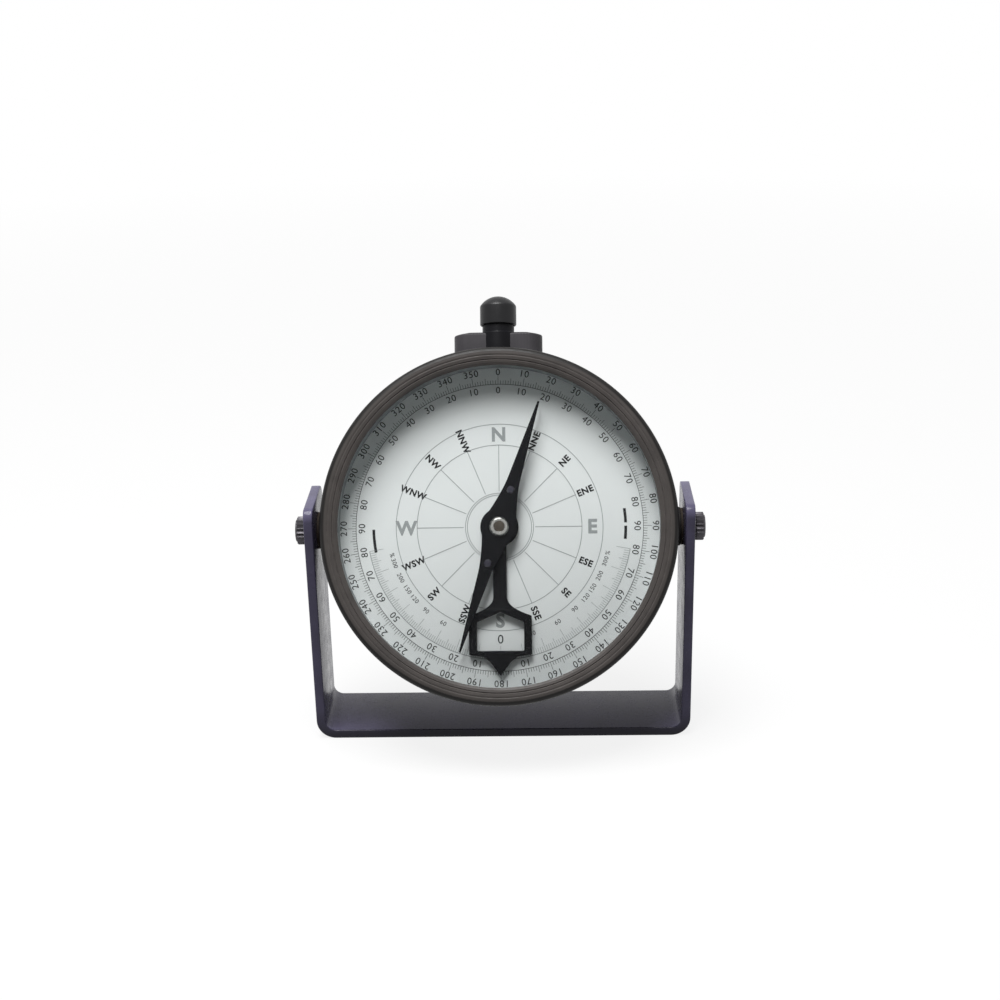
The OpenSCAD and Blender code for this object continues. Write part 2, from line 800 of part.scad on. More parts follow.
// Front view of the pendulum without its window, hanging from the origin
module pendulum_outline() {
    half = frame_w / 2;
    stalk = stalk_w / 2;
    polygon([
        [stalk, 0], [stalk, -frame_top + 4.3], [stalk + 0.35, -frame_top + 3.1],
        [stalk + 1.1, -frame_top + 2], [stalk + 2.6, -frame_top + 1], [half, -frame_top],
        [half, -frame_bottom], [3.6, -frame_bottom - 0.4], [2.2, -frame_bottom - 1.5],
        [0, -pend_tip],
        [-2.2, -frame_bottom - 1.5], [-3.6, -frame_bottom - 0.4], [-half, -frame_bottom],
        [-half, -frame_top], [-stalk - 2.6, -frame_top + 1], [-stalk - 1.1, -frame_top + 2],
        [-stalk - 0.35, -frame_top + 3.1], [-stalk, -frame_top + 4.3], [-stalk, 0]
    ]);
}

// The window: a gable over a rectangle
module pendulum_window() {
    half = frame_w / 2 - frame_bar;
    polygon([
        [-half, -frame_bottom + frame_bar / 2], [half, -frame_bottom + frame_bar / 2],
        [half, -frame_top - frame_bar + 0.3], [0, -frame_top + 0.8],
        [-half, -frame_top - frame_bar + 0.3]
    ]);
}

module pendulum() {
    color([0.1, 0.1, 0.12])
    in_case() translate([0, 0, pend_z]) difference() {
        union() {
            cylinder(r = hub_disc_d / 2, h = stalk_t);
            linear_extrude(height = stalk_t) pendulum_outline();
            linear_extrude(height = frame_t) intersection() {
                pendulum_outline();
                translate([-frame_w, -pend_tip - 1]) square([2 * frame_w, pend_tip + 1 - frame_top + 1]);
            }
        }
        translate([0, 0, -1]) cylinder(r = hub_r + seat_gap, h = 4);
        translate([0, 0, -1]) linear_extrude(height = frame_t + 2) pendulum_window();
    }
}

module pendulum_hub() {
    color([0.72, 0.58, 0.3]) in_case() tube(hub_r, hub_in, pend_z - hub_rise, hub_top_z);
}

// A head with a fluted rim, drawn as a wave round a circle
module fluted_head() {
    depth = 0.22;
    per_flute = 6;
    n = head_flutes * per_flute;
    polygon([for (i = [0:n - 1])
        let (r = head_d / 2 - depth + depth * cos(360 * i / per_flute))
        [r * cos(360 * i / n), r * sin(360 * i / n)]]);
}

// A clamp screw along X: a fluted head with a turned collar, and its shank
module clamp_screw(side) {
    collar_t = 0.3;
    color([0.33, 0.32, 0.35])
    along_x(side) {
        translate([0, 0, head_x + collar_t])
            linear_extrude(height = head_t - 2 * collar_t) fluted_head();
        translate([0, 0, head_x]) cylinder(r = head_d / 2 - 0.6, h = head_t);
        translate([0, 0, shank_end]) cylinder(r = shank_r, h = head_x - shank_end + eps);
    }
}

module left_clamp_screw() { clamp_screw(-1); }
module right_clamp_screw() { clamp_screw(1); }

bracket();
left_outer_washer();
right_outer_washer();
case_body();
bezel_ring();
glass();
glass_seal();
dial_ring();
dial_plate();
pivot_post();
pendulum_bush();
bush_clip();
arrest_bush();
arrest_bush_screws();
button_spring();
lever_stand();
lever_stand_screws();
lever_axle();
left_friction_washer();
right_friction_washer();
left_clamp_screw();
right_clamp_screw();
arrest_button();
lifter_lever();
lever_drive_pin();
lifter_sleeve();
needle();
needle_cap();
needle_jewel();
needle_studs();
pendulum();
pendulum_hub();
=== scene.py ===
"""Dresses the packed clinometer compass: its turned, bent and cut pieces, printed dial, finishes and stage.

The frame is in metres. Shapes are drawn in millimetres, in the axes of what they sit on, and scaled once when
their mesh is made.
"""

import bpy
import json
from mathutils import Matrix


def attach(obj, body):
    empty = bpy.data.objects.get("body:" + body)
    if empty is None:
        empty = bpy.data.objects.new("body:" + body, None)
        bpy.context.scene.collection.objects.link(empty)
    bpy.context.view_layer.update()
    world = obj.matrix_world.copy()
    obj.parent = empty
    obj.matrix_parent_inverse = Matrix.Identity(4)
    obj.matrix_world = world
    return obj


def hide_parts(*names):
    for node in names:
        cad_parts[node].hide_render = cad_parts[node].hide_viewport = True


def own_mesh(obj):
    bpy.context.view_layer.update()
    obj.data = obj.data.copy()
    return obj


bl_info = {
    "name": "Clinometer Compass",
    "version": (1, 0, 0),
    "blender": (4, 5, 0),
    "location": "View3D > Sidebar > Compass",
    "description": "Builds the visible pieces of a clinometer compass around its packed model",
    "category": "Object",
}

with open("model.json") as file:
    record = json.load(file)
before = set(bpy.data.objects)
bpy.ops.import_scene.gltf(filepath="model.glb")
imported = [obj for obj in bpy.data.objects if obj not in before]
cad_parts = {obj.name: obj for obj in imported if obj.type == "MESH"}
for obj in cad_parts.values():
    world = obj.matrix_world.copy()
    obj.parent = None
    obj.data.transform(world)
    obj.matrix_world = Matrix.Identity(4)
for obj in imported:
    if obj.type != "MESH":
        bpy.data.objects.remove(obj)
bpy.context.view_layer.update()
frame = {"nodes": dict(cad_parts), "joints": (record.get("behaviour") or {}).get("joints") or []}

import json
import math
from functools import cache

import bmesh
import bpy
from bpy.props import FloatProperty, FloatVectorProperty, IntProperty, PointerProperty
from mathutils import Matrix, Vector

MM = 0.001

JOINTS = {joint["name"]: joint for joint in frame["joints"]}
PIVOT = Vector(JOINTS["case_tilt"]["pos_m"])
NORMAL = Vector(JOINTS["pendulum_swing"]["axis"]).normalized()
ACROSS = Vector((1, 0, 0))

# X to the right, Y up the dial, Z out of it, from the pivot axis
DIAL = Matrix.Translation(PIVOT) @ Matrix((ACROSS, NORMAL.cross(ACROSS), NORMAL)).transposed().to_4x4()


def reach(name, place=DIAL):
    """Lowest and highest corner of a CAD node in a place's axes, in millimetres."""
    back = place.inverted()
    corners = [back @ vertex.co / MM for vertex in frame["nodes"][name].data.vertices]
    low = Vector([min(corner[i] for corner in corners) for i in range(3)])
    high = Vector([max(corner[i] for corner in corners) for i in range(3)])
    return low, high


BEZEL = reach("bezel_ring")
CASE = reach("case_body")
GLASS = reach("glass")
DIAL_PLATE = reach("dial_plate")
STRIP = reach("bracket", Matrix.Translation((0, 0, 0)))
SADDLE = reach("arrest_bush")
BUTTON = reach("arrest_button")
NEEDLE = reach("needle")
CAP = reach("needle_cap")
PENDULUM = reach("pendulum")
HUB = reach("pendulum_hub")
SCREW = reach("right_clamp_screw", Matrix.Translation(PIVOT))

# Radius of the case cup, which the bezel overhangs and the saddle is curved to
BARREL = BEZEL[1].x - 1.5

# The axes that the turned pieces were turned about
BUTTON_BACK = (BUTTON[0].z + BUTTON[1].z) / 2
AXES = {
    "dial": DIAL,
    "button": DIAL @ Matrix.Translation((0, 0, BUTTON_BACK * MM)) @ Matrix.Rotation(-math.pi / 2, 4, "X"),
    "right clamp": Matrix.Translation(PIVOT) @ Matrix.Rotation(math.pi / 2, 4, "Y"),
    "left clamp": Matrix.Translation(PIVOT) @ Matrix.Rotation(-math.pi / 2, 4, "Y"),
}
SPRING = reach("button_spring", AXES["button"])


def linear(code):
    """Turns an sRGB hex colour into the linear values that shaders take."""
    parts = [int(code[i : i + 2], 16) / 255 for i in (1, 3, 5)]
    return tuple(p / 12.92 if p <= 0.04045 else ((p + 0.055) / 1.055) ** 2.4 for p in parts)


def length(name, description, default):
    """A size that a user would change, shown as a length. The default is in millimetres."""
    return FloatProperty(
        name=name,
        description=description,
        default=default * MM,
        min=0,
        max=1,
        unit="LENGTH",
        subtype="DISTANCE",
        precision=5,
    )


def number(name, description, default, low, high):
    """A whole number that a user would change."""
    return IntProperty(name=name, description=description, default=default, min=low, max=high)


def colour(name, description, code):
    """A colour that a user would change."""
    return FloatVectorProperty(
        name=name, description=description, subtype="COLOR", default=linear(code), min=0, max=1, size=3
    )


class StandSizes(bpy.types.PropertyGroup):
    """Sizes of the bent strip stand."""

    thickness: length("Strip thickness", "Thickness of the bent strip", 2)
    bend: length("Bend radius", "Inside radius of the two bends", 2.2)
    corner: length("End corner radius", "Radius of the corners at the arms' ends", 2.5)
    edge: length("Edge rounding", "Rounding of the strip's long edges", 0.3)


class CaseSizes(bpy.types.PropertyGroup):
    """Sizes of the case, the bezel and the clamp screws."""

    bezel_edge: length("Bezel edge rounding", "Rounding of the bezel's outer front edge", 1.2)
    lip: length("Bezel opening radius", "Radius of the opening in the bezel's lip", 34.1)
    boss: length("Boss radius", "Radius of the two pivot bosses", 4.2)
    flutes: number("Head flutes", "Flutes round each clamp screw's head", 18, 6, 40)


class ButtonSizes(bpy.types.PropertyGroup):
    """Sizes of the arrest button, its spring and the saddle that carries it."""

    cap_height: length("Cap height", "Height of the button's domed cap", 6.5)
    cap_wall: length("Cap wall", "Wall of the cap round the neck", 0.35)
    crown: length("Crown", "Height of the dome within the cap", 2.2)
    neck: length("Neck radius", "Radius of the neck under the cap", 3.5)
    wire: length("Spring wire", "Thickness of the return spring's wire", 0.4)
    turns: number("Spring turns", "Turns of the return spring", 7, 5, 8)
    saddle_depth: length("Saddle depth", "Depth of the saddle's wings, from front to back", 6)
    saddle_height: length("Saddle height", "Height of the saddle's crest over the case", 6.7)
    saddle_fall: length("Saddle fall", "How much lower the saddle's shoulders lie than its crest", 0.5)


class DialSizes(bpy.types.PropertyGroup):
    """Sizes of the dial's print."""

    number_height: length("Number height", "Height of the bearing numbers", 1.45)
    letter_height: length("Letter height", "Height of the compass points' letters", 1.35)
    cardinal_height: length("Cardinal height", "Height of the four main points' letters", 2.9)
    line: length("Line width", "Width of the fine circles and the rays", 0.14)
    tick: length("Tick width", "Width of the one-degree ticks", 0.08)


class MovementSizes(bpy.types.PropertyGroup):
    """Sizes of the needle and the pendulum."""

    needle_length: length("Needle length", "Tip to tip length of the needle", 56.2)
    needle_width: length("Needle width", "Width of the needle at its middle", 7.7)
    heading: FloatProperty(
        name="Needle heading",
        description="Angle that the needle's north end points right of the top",
        default=math.radians(18),
        subtype="ANGLE",
        unit="ROTATION",
    )
    stalk: length("Stalk width", "Width of the pendulum's stalk", 2.9)
    frame_width: length("Frame width", "Outside width of the pendulum's windowed frame", 13.4)
    frame_bar: length("Frame bar", "Width of the frame's bars", 1.65)


class Colours(bpy.types.PropertyGroup):
    """Colours of the finishes."""

    strip: colour("Strip enamel", "Slate enamel of the stand", "#555169")
    bezel: colour("Bezel lacquer", "Brown-grey lacquer of the bezel", "#464240")
    case: colour("Case lacquer", "Black-brown lacquer of the case", "#262423")
    saddle: colour("Saddle lacquer", "Grey lacquer of the saddle", "#3c3a3d")
    dial: colour("Dial enamel", "Cool white enamel of the dial", "#e9ecec")
    ink: colour("Ink", "Black ink of the numbers and letters", "#17171a")
    pale_ink: colour("Pale ink", "Grey ink of the main points and the fine lines", "#9a9e9f")
    lacquer: colour("Movement lacquer", "Black lacquer of the needle and the pendulum", "#0f0f12")
    button: colour("Button", "Black of the moulded button", "#08080a")


def settings():
    """The property groups that this scene holds."""
    return bpy.context.scene.compass


# Meshes

# Edges over this angle stay crisp
CRISP = math.radians(32)


def rounded(points, closed=True, steps=4):
    """A line through (x, y, radius) points, with each corner rounded to its radius."""
    line = []
    for i, (x, y, radius) in enumerate(points):
        here = Vector((x, y))
        if radius <= 0 or (not closed and i in (0, len(points) - 1)):
            line.append((x, y))
            continue
        behind, after = points[i - 1], points[(i + 1) % len(points)]
        back = Vector(behind[:2]) - here
        ahead = Vector(after[:2]) - here
        half = back.angle(ahead) / 2
        # Two neighbouring corners share the line between them by their radii
        room = [
            side.length * 0.98 * radius / (radius + neighbour[2])
            for side, neighbour in ((back, behind), (ahead, after))
        ]
        run = min(radius / math.tan(half), *room)
        real = run * math.tan(half)
        centre = here + (back.normalized() + ahead.normalized()).normalized() * (real / math.sin(half))
        first = here + back.normalized() * run - centre
        last = here + ahead.normalized() * run - centre
        turn = math.copysign(math.pi - 2 * half, first.x * last.y - first.y * last.x)
        line += [centre + Matrix.Rotation(turn * k / steps, 2) @ first for k in range(steps + 1)]
    return line


def circle(radius, centre=(0, 0), count=48):
    """Points round a circle."""
    turns = [2 * math.pi * k / count for k in range(count)]
    return [(centre[0] + radius * math.cos(a), centre[1] + radius * math.sin(a)) for a in turns]


def rod(radius, low, high, first=0, last=0):
    """The line of a plain rod or bore between two heights, with the roundings of its two edges."""
    return [(0, low, 0), (radius, low, first), (radius, high, last), (0, high, 0)]


def join_loops(shape, before, after):
    """Faces between two loops of the same count, or between a loop and one point."""
    most = max(len(before), len(after))
    for i in range(most):
        j = (i + 1) % most
        corners = [loop[k % len(loop)] for loop, k in ((before, i), (before, j), (after, j), (after, i))]
        shape.faces.new(list(dict.fromkeys(corners)))


def add_turned(shape, points, segments, place=Matrix(), steps=4):
    """Adds a turned form: a line of (radius, height, rounding) points swept round Z.

    A line that starts on the axis also ends there. Any other is a closed section.
    """
    closed = points[0][0] > 0
    rings = []
    for radius, height in rounded(points, closed, steps):
        ring = circle(radius, count=1 if radius < 1e-6 else segments)
        rings.append([shape.verts.new(place @ Vector((x, y, height))) for x, y in ring])
    for before, after in zip(rings, rings[1:] + rings[:1] if closed else rings[1:]):
        if len(before) + len(after) > 2:
            join_loops(shape, before, after)


def add_loft(shape, loops):
    """Adds a skin over loops of points, with its ends closed."""
    rows = [[shape.verts.new(point) for point in loop] for loop in loops]
    for before, after in zip(rows, rows[1:]):
        join_loops(shape, before, after)
    shape.faces.new(rows[0][::-1])
    shape.faces.new(rows[-1])


def shown_mesh(data):
    """The mesh that a curve or a text shows."""
    holder = bpy.data.objects.new("holder", data)
    bpy.context.scene.collection.objects.link(holder)
    mesh = bpy.data.meshes.new_from_object(holder.evaluated_get(bpy.context.evaluated_depsgraph_get()))
    bpy.data.objects.remove(holder)
    return mesh


def plate_mesh(outlines, low, high, bevel):
    """A flat plate between two heights, cut to its outlines, the outer one first, with broken edges."""
    curve = bpy.data.curves.new("outline", "CURVE")
    curve.dimensions = "2D"
    curve.fill_mode = "BOTH"
    curve.extrude = (high - low) / 2 - bevel
    curve.bevel_depth = bevel
    curve.bevel_resolution = 2
    curve.offset = -bevel
    for outline in outlines:
        spline = curve.splines.new("POLY")
        spline.points.add(len(outline) - 1)
        for point, (x, y) in zip(spline.points, outline):
            point.co = (x, y, 0, 1)
        spline.use_cyclic_u = True
    mesh = shown_mesh(curve)
    mesh.transform(Matrix.Translation((0, 0, (low + high) / 2)))
    return mesh


def add_mesh(shape, mesh, place=Matrix()):
    """Adds a copy of a mesh to a shape, at a place in it."""
    first = len(shape.verts)
    shape.from_mesh(mesh)
    shape.verts.ensure_lookup_table()
    bmesh.ops.transform(shape, matrix=place, verts=shape.verts[first:])


def cut(shape, cutter):
    """A shape with another one taken away from it. Both are used up."""
    holders = []
    for form in (shape, cutter):
        bmesh.ops.recalc_face_normals(form, faces=form.faces)
        mesh = bpy.data.meshes.new("form")
        form.to_mesh(mesh)
        form.free()
        holders.append(bpy.data.objects.new("holder", mesh))
        bpy.context.scene.collection.objects.link(holders[-1])
    taken = holders[0].modifiers.new("cut", "BOOLEAN")
    taken.operation = "DIFFERENCE"
    taken.solver = "EXACT"
    taken.object = holders[1]
    shown = holders[0].evaluated_get(bpy.context.evaluated_depsgraph_get())
    made = bmesh.new()
    made.from_mesh(bpy.data.meshes.new_from_object(shown))
    for holder in holders:
        bpy.data.objects.remove(holder)
    return made


def object_of(name, shape, place):
    """Makes the object of a shape drawn in millimetres at a place. The shape is used up."""
    mesh = bpy.data.meshes.new(name)
    shape.to_mesh(mesh)
    shape.free()
    mesh.transform(place @ Matrix.Scale(MM, 4))
    made = bpy.data.objects.new(name, mesh)
    bpy.context.scene.collection.objects.link(made)
    return made


def piece(name, shape, place=Matrix()):
    """Makes a solid piece, smooth but for its crisp edges."""
    bmesh.ops.remove_doubles(shape, verts=shape.verts, dist=1e-5)
    bmesh.ops.recalc_face_normals(shape, faces=shape.faces)
    made = object_of(name, shape, place)
    made.data.shade_smooth()
    made.data.set_sharp_from_angle(angle=CRISP)
    return made


def settle(made, material, body, slot, *nodes):
    """Gives a piece its finish, and lets it ride on its body and stand for its CAD nodes. Its slot is not
    used.
    """
    made.data.materials.append(material)
    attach(made, body)
    if nodes:
        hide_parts(*nodes)


def turn_piece(name, points, segments, *given, place=DIAL, steps=4):
    """Makes and settles a piece turned from one line. given is what settle() takes after the piece."""
    shape = bmesh.new()
    add_turned(shape, points, segments, steps=steps)
    settle(piece(name, shape, place), *given)


def dress(material, *nodes):
    """Gives CAD nodes a finish. Their shape stays as packed."""
    for name in nodes:
        for slot in frame["nodes"][name].material_slots:
            slot.material = material


# Finishes


def node(tree, kind, *feeds, out=None, **values):
    """Adds one shader node, and gives its first shown output or the one named.

    feeds go into its shown sockets in order, and values into its properties or its sockets by name. An
    output is linked, and anything else is set.
    """
    made = tree.nodes.new("ShaderNode" + kind)
    named = []
    for name, value in values.items():
        if hasattr(made, name):
            setattr(made, name, value)
        else:
            named.append((made.inputs[name], value))
    shown = [socket for socket in made.inputs if socket.enabled]
    for socket, value in [*zip(shown, feeds), *named]:
        if isinstance(value, bpy.types.NodeSocket):
            tree.links.new(value, socket)
        else:
            socket.default_value = (*value, 1) if socket.type == "RGBA" else value
    return made.outputs[out] if out else next(socket for socket in made.outputs if socket.enabled)


def finish(name, tint, roughness, metallic=0.0, specular=0.5, ior=1.5):
    """A new material with constant values on its shader's own sockets, and its node tree."""
    material = bpy.data.materials.new(name)
    material.use_nodes = True
    material.diffuse_color = (*tint, 1)
    values = {
        "Base Color": (*tint, 1),
        "Roughness": roughness,
        "Metallic": metallic,
        "Specular IOR Level": specular,
        "IOR": ior,
    }
    for socket, value in values.items():
        material.node_tree.nodes["Principled BSDF"].inputs[socket].default_value = value
    return material, material.node_tree


def feed(tree, tint=None, roughness=None, height=None, depth=0.0, strength=1.0):
    """Feeds a finish's colour, its roughness and its relief of a depth in millimetres into its shader."""
    sockets = tree.nodes["Principled BSDF"].inputs
    if tint:
        tree.links.new(tint, sockets["Base Color"])
    if roughness:
        tree.links.new(roughness, sockets["Roughness"])
    if height:
        relief = node(tree, "Bump", Strength=strength, Distance=depth * MM, Height=height)
        tree.links.new(relief, sockets["Normal"])


def spot(tree, axis):
    """Where a spot lies in the axes of a turned piece."""
    back = AXES[axis].inverted()
    where = node(tree, "TexCoord", out="Object")
    return node(tree, "Mapping", where, Location=back.translation, Rotation=back.to_euler())


def turning_rings(tree, pitch, axis, distortion=0.8):
    """Fine rings that a lathe tool leaves about a turned piece's axis, that many millimetres apart."""
    return node(
        tree,
        "TexWave",
        spot(tree, axis),
        out="Fac",
        wave_type="RINGS",
        rings_direction="Z",
        # The wave runs 20 radians along each unit of its scale
        Scale=2 * math.pi / (20 * pitch * MM),
        Distortion=distortion,
        Detail=2.0,
    )


def grain(tree, size, detail=2.0, stretch=(1, 1, 1)):
    """A soft even grain in the piece's own axes, with features of that many millimetres."""
    where = node(tree, "Mapping", node(tree, "TexCoord", out="Object"), Scale=stretch)
    return node(tree, "TexNoise", where, Scale=1 / (size * MM), Detail=detail)


def edge_share(tree, width):
    """How much a spot lies on an edge, from how its own direction differs from its neighbours'."""
    soft = node(tree, "Bevel", width * MM, samples=6)
    match = node(tree, "VectorMath", soft, node(tree, "NewGeometry", out="Normal"), operation="DOT_PRODUCT")
    return node(tree, "MapRange", match, 0.995, 0.86, 0.0, 1.0)


def scaled(tint, factor):
    """A colour made lighter or darker."""
    return tuple(min(1.0, c * factor) for c in tint)


def tint_over(tree, share, tint):
    """Blends one more colour over a finish's own, by a share."""
    under = tree.nodes["Principled BSDF"].inputs["Base Color"].links[0].from_socket
    feed(tree, node(tree, "Mix", share, under, tint, data_type="RGBA"))


def lacquered_metal(name, tint, roughness, worn, peel=0.7, size=0.25, specular=0.42, lines=0.0, axis="dial"):
    """Lacquer or enamel on metal: an even colour with a soft mottle, an orange peel and lighter rubbed edges.

    size is that of the peel, and lines the pitch of the tool rings that show through, both in millimetres.
    """
    material, tree = finish(name, tint, roughness, specular=specular)
    mottle = node(tree, "MapRange", grain(tree, 6.0, 3.0), 0.35, 0.65, 0.0, 1.0)
    base = node(tree, "Mix", mottle, scaled(tint, 0.86), scaled(tint, 1.14), data_type="RGBA")
    patches = node(tree, "MapRange", grain(tree, 1.4, 3.0), 0.38, 0.62, 0.15, 1.0)
    rubbed = node(tree, "Math", edge_share(tree, 0.35), patches, operation="MULTIPLY")
    sheen = node(tree, "MapRange", grain(tree, 2.5, 3.0), 0.3, 0.7, roughness - 0.06, roughness + 0.08)
    height = grain(tree, size)
    if lines:
        height = node(tree, "Math", turning_rings(tree, lines, axis), height, operation="ADD")
    feed(tree, node(tree, "Mix", rubbed, base, worn, data_type="RGBA"), sheen, height, 0.012, peel)
    return material


def turned_metal(name, tint, roughness, pitch=0.2, metallic=1.0, axis="dial"):
    """Bare turned metal: fine rings from the tool in its surface, and a cloud in its colour and gloss."""
    material, tree = finish(name, tint, roughness, metallic=metallic)
    cloud = grain(tree, 1.2, 3.0)
    colours = node(tree, "Mix", cloud, scaled(tint, 0.8), scaled(tint, 1.1), data_type="RGBA")
    gloss = node(tree, "MapRange", cloud, 0.3, 0.7, roughness - 0.05, roughness + 0.1)
    feed(tree, colours, gloss, turning_rings(tree, pitch, axis, 1.0), 0.004, 0.6)
    return material


@cache
def slate_enamel():
    """Stove enamel on bent steel strip, sprayed: satin slate grey with a violet cast."""
    tint = tuple(settings().colours.strip)
    name = "stove enamel on bent steel, sprayed"
    material = lacquered_metal(name, tint, 0.24, scaled(tint, 1.5), 0.2, size=0.6, specular=0.2)
    # Painted shade darkens the strip's cut edges at the foot, near the table
    tree = material.node_tree
    where = node(tree, "TexCoord", out="Object")
    off = node(tree, "Math", node(tree, "SeparateXYZ", where, out="Y"), operation="ABSOLUTE")
    half = (STRIP[1].y - STRIP[0].y) / 2
    edge = node(tree, "MapRange", off, (half - 0.4) * MM, (half - 0.1) * MM, 0.0, 1.0)
    low = node(tree, "MapRange", node(tree, "SeparateXYZ", where, out="Z"), 1 * MM, 7 * MM, 0.75, 0.0)
    tint_over(tree, node(tree, "Math", edge, low, operation="MULTIPLY"), scaled(tint, 0.12))
    return material


@cache
def bezel_lacquer():
    """Lacquer over turned brass: satin brown-grey with fine tool rings."""
    tint = tuple(settings().colours.bezel)
    name = "brown lacquer on turned brass"
    material = lacquered_metal(name, tint, 0.42, scaled(tint, 1.7), 1.0, specular=0.2, lines=0.4)
    # Painted shade darkens the bezel's rounded outer edge
    tree = material.node_tree
    flat = node(tree, "VectorMath", spot(tree, "dial"), (1, 1, 0), operation="MULTIPLY")
    out = node(tree, "VectorMath", flat, operation="LENGTH")
    edge = (BEZEL[1].x - 1.15) * MM
    tint_over(tree, node(tree, "MapRange", out, edge, edge + 0.35 * MM, 0.0, 1.0), scaled(tint, 0.12))
    return material


@cache
def case_lacquer():
    """Lacquer over a turned cup: satin black-brown with fine tool rings."""
    tint = tuple(settings().colours.case)
    name = "black-brown lacquer on turned brass"
    return lacquered_metal(name, tint, 0.5, scaled(tint, 2.6), specular=0.12, lines=0.5)


@cache
def saddle_lacquer():
    """Lacquer over a machined brass block: satin grey, lighter where hands rub its edges."""
    tint = tuple(settings().colours.saddle)
    name = "grey lacquer on machined brass"
    return lacquered_metal(name, tint, 0.42, scaled(tint, 1.9), specular=0.15, lines=0.6, axis="button")


@cache
def movement_lacquer():
    """Black lacquer, dipped, on thin sheet: nearly black with a soft gloss."""
    tint = tuple(settings().colours.lacquer)
    name = "black lacquer on sheet metal, dipped"
    return lacquered_metal(name, tint, 0.38, scaled(tint, 2.5), size=0.5, specular=0.1)


@cache
def ring_paint():
    """Grey paint on a drawn brass ring: dull, so that no bright line rims the dial."""
    name = "grey paint on drawn brass"
    return lacquered_metal(name, linear("#85888a"), 0.6, linear("#a9abab"), specular=0.2)


@cache
def dial_enamel():
    """Cool white enamel, fired, on a brass disc: even, with a faint cloud and a dull surface."""
    tint = tuple(settings().colours.dial)
    material, tree = finish("white enamel on brass, fired matt", tint, 0.6, specular=0.3)
    cloud = node(tree, "MapRange", grain(tree, 5.0, 4.0), 0.3, 0.7, 0.0, 1.0)
    fine = node(tree, "MapRange", grain(tree, 0.6), 0.3, 0.7, 0.0, 1.0)
    broad = node(tree, "Mix", cloud, scaled(tint, 0.965), tint, data_type="RGBA")
    colours = node(tree, "Mix", fine, broad, scaled(tint, 0.985), data_type="RGBA")
    feed(tree, colours, height=grain(tree, 0.4), depth=0.004, strength=0.4)
    return material


@cache
def printing_ink(name, tint):
    """Screen printing ink: flat, dull and a little uneven in its cover."""
    material, tree = finish(name, tint, 0.7, specular=0.2)
    cover = node(tree, "MapRange", grain(tree, 0.35), 0.35, 0.7, 0.0, 1.0)
    feed(tree, node(tree, "Mix", cover, tint, tuple(c + 0.03 for c in tint), data_type="RGBA"))
    return material


@cache
def clear_glass():
    """Polished mineral glass: what lies behind it shows straight, and a faint gloss lies over it."""
    material, tree = finish("mineral glass, polished", linear("#f4f8f8"), 0.03, metallic=1.0)
    clear = node(tree, "BsdfTransparent", (0.99, 0.995, 0.993))
    gloss = tree.nodes["Principled BSDF"].outputs["BSDF"]
    mixed = node(tree, "MixShader", node(tree, "Fresnel", 1.1), clear, gloss)
    tree.links.new(mixed, tree.nodes["Material Output"].inputs["Surface"])
    return material


@cache
def button_resin():
    """Phenolic resin, moulded and rubbed by thumbs: deep black with a soft highlight."""
    tint = tuple(settings().colours.button)
    material, tree = finish("phenolic resin, moulded and polished", tint, 0.38, specular=0.3)
    rub = grain(tree, 0.9, 3.0)
    colours = node(tree, "Mix", rub, tint, scaled(tint, 2.2), data_type="RGBA")
    feed(tree, colours, node(tree, "MapRange", rub, 0.3, 0.7, 0.34, 0.42), grain(tree, 1.5), 0.01, 0.4)
    return material


@cache
def moulded_rubber():
    """Moulded rubber: dull black with a powdery grain."""
    material, tree = finish("rubber, moulded", linear("#1a1a1a"), 0.85, specular=0.3)
    colours = node(tree, "Mix", grain(tree, 0.5), linear("#131313"), linear("#242424"), data_type="RGBA")
    feed(tree, colours, height=grain(tree, 0.2), depth=0.01)
    return material


@cache
def pressed_fibre():
    """Pressed fibre of the friction washers: dull dark brown with short flecks."""
    material, tree = finish("vulcanised fibre, punched", linear("#2c2622"), 0.8, specular=0.25)
    flecks = grain(tree, 0.3, 3.0, stretch=(1, 1, 3))
    colours = node(tree, "Mix", flecks, linear("#1f1a17"), linear("#40372f"), data_type="RGBA")
    feed(tree, colours, height=flecks, depth=0.01)
    return material


@cache
def ruby():
    """Synthetic ruby, polished: deep red with a wet gloss."""
    material, tree = finish("synthetic ruby, polished", linear("#8e1233"), 0.06, ior=1.76)
    feed(tree, node(tree, "Mix", grain(tree, 0.6), linear("#7a0d29"), linear("#a31a40"), data_type="RGBA"))
    return material


# Pieces


def strip_path(half, top, thickness, bend):
    """Places along the bent strip's middle, from left to right, as (x, z, outward x, outward z)."""
    arm_steps, floor_steps = 12, 16
    middle = half - thickness / 2
    turn = bend + thickness / 2
    low = thickness / 2 + turn
    left = [(-middle, top + (low - top) * k / arm_steps, -1, 0) for k in range(arm_steps + 1)]
    for k in range(1, arm_steps + 1):
        a = math.pi + math.pi / 2 * k / arm_steps
        out_x, out_z = math.cos(a), math.sin(a)
        left.append((-middle + turn + turn * out_x, low + turn * out_z, out_x, out_z))
    right = [(-x, z, -out_x, out_z) for x, z, out_x, out_z in reversed(left)]
    reach_in = middle - turn
    shares = [2 * k / floor_steps - 1 for k in range(1, floor_steps)]
    return left + [(reach_in * share, thickness / 2, 0, -1) for share in shares] + right


def strip_loop(at, half_width, half_thick, edge):
    """The strip's section at one place on its path: a bar with rounded edges."""
    x, z, out_x, out_z = at
    edge = min(edge, half_thick * 0.9)
    corners = ((1, 1), (-1, 1), (-1, -1), (1, -1))
    section = rounded([(half_width * w, half_thick * t, edge) for w, t in corners], steps=3)
    return [Vector((x + out_x * t, w, z + out_z * t)) for w, t in section]


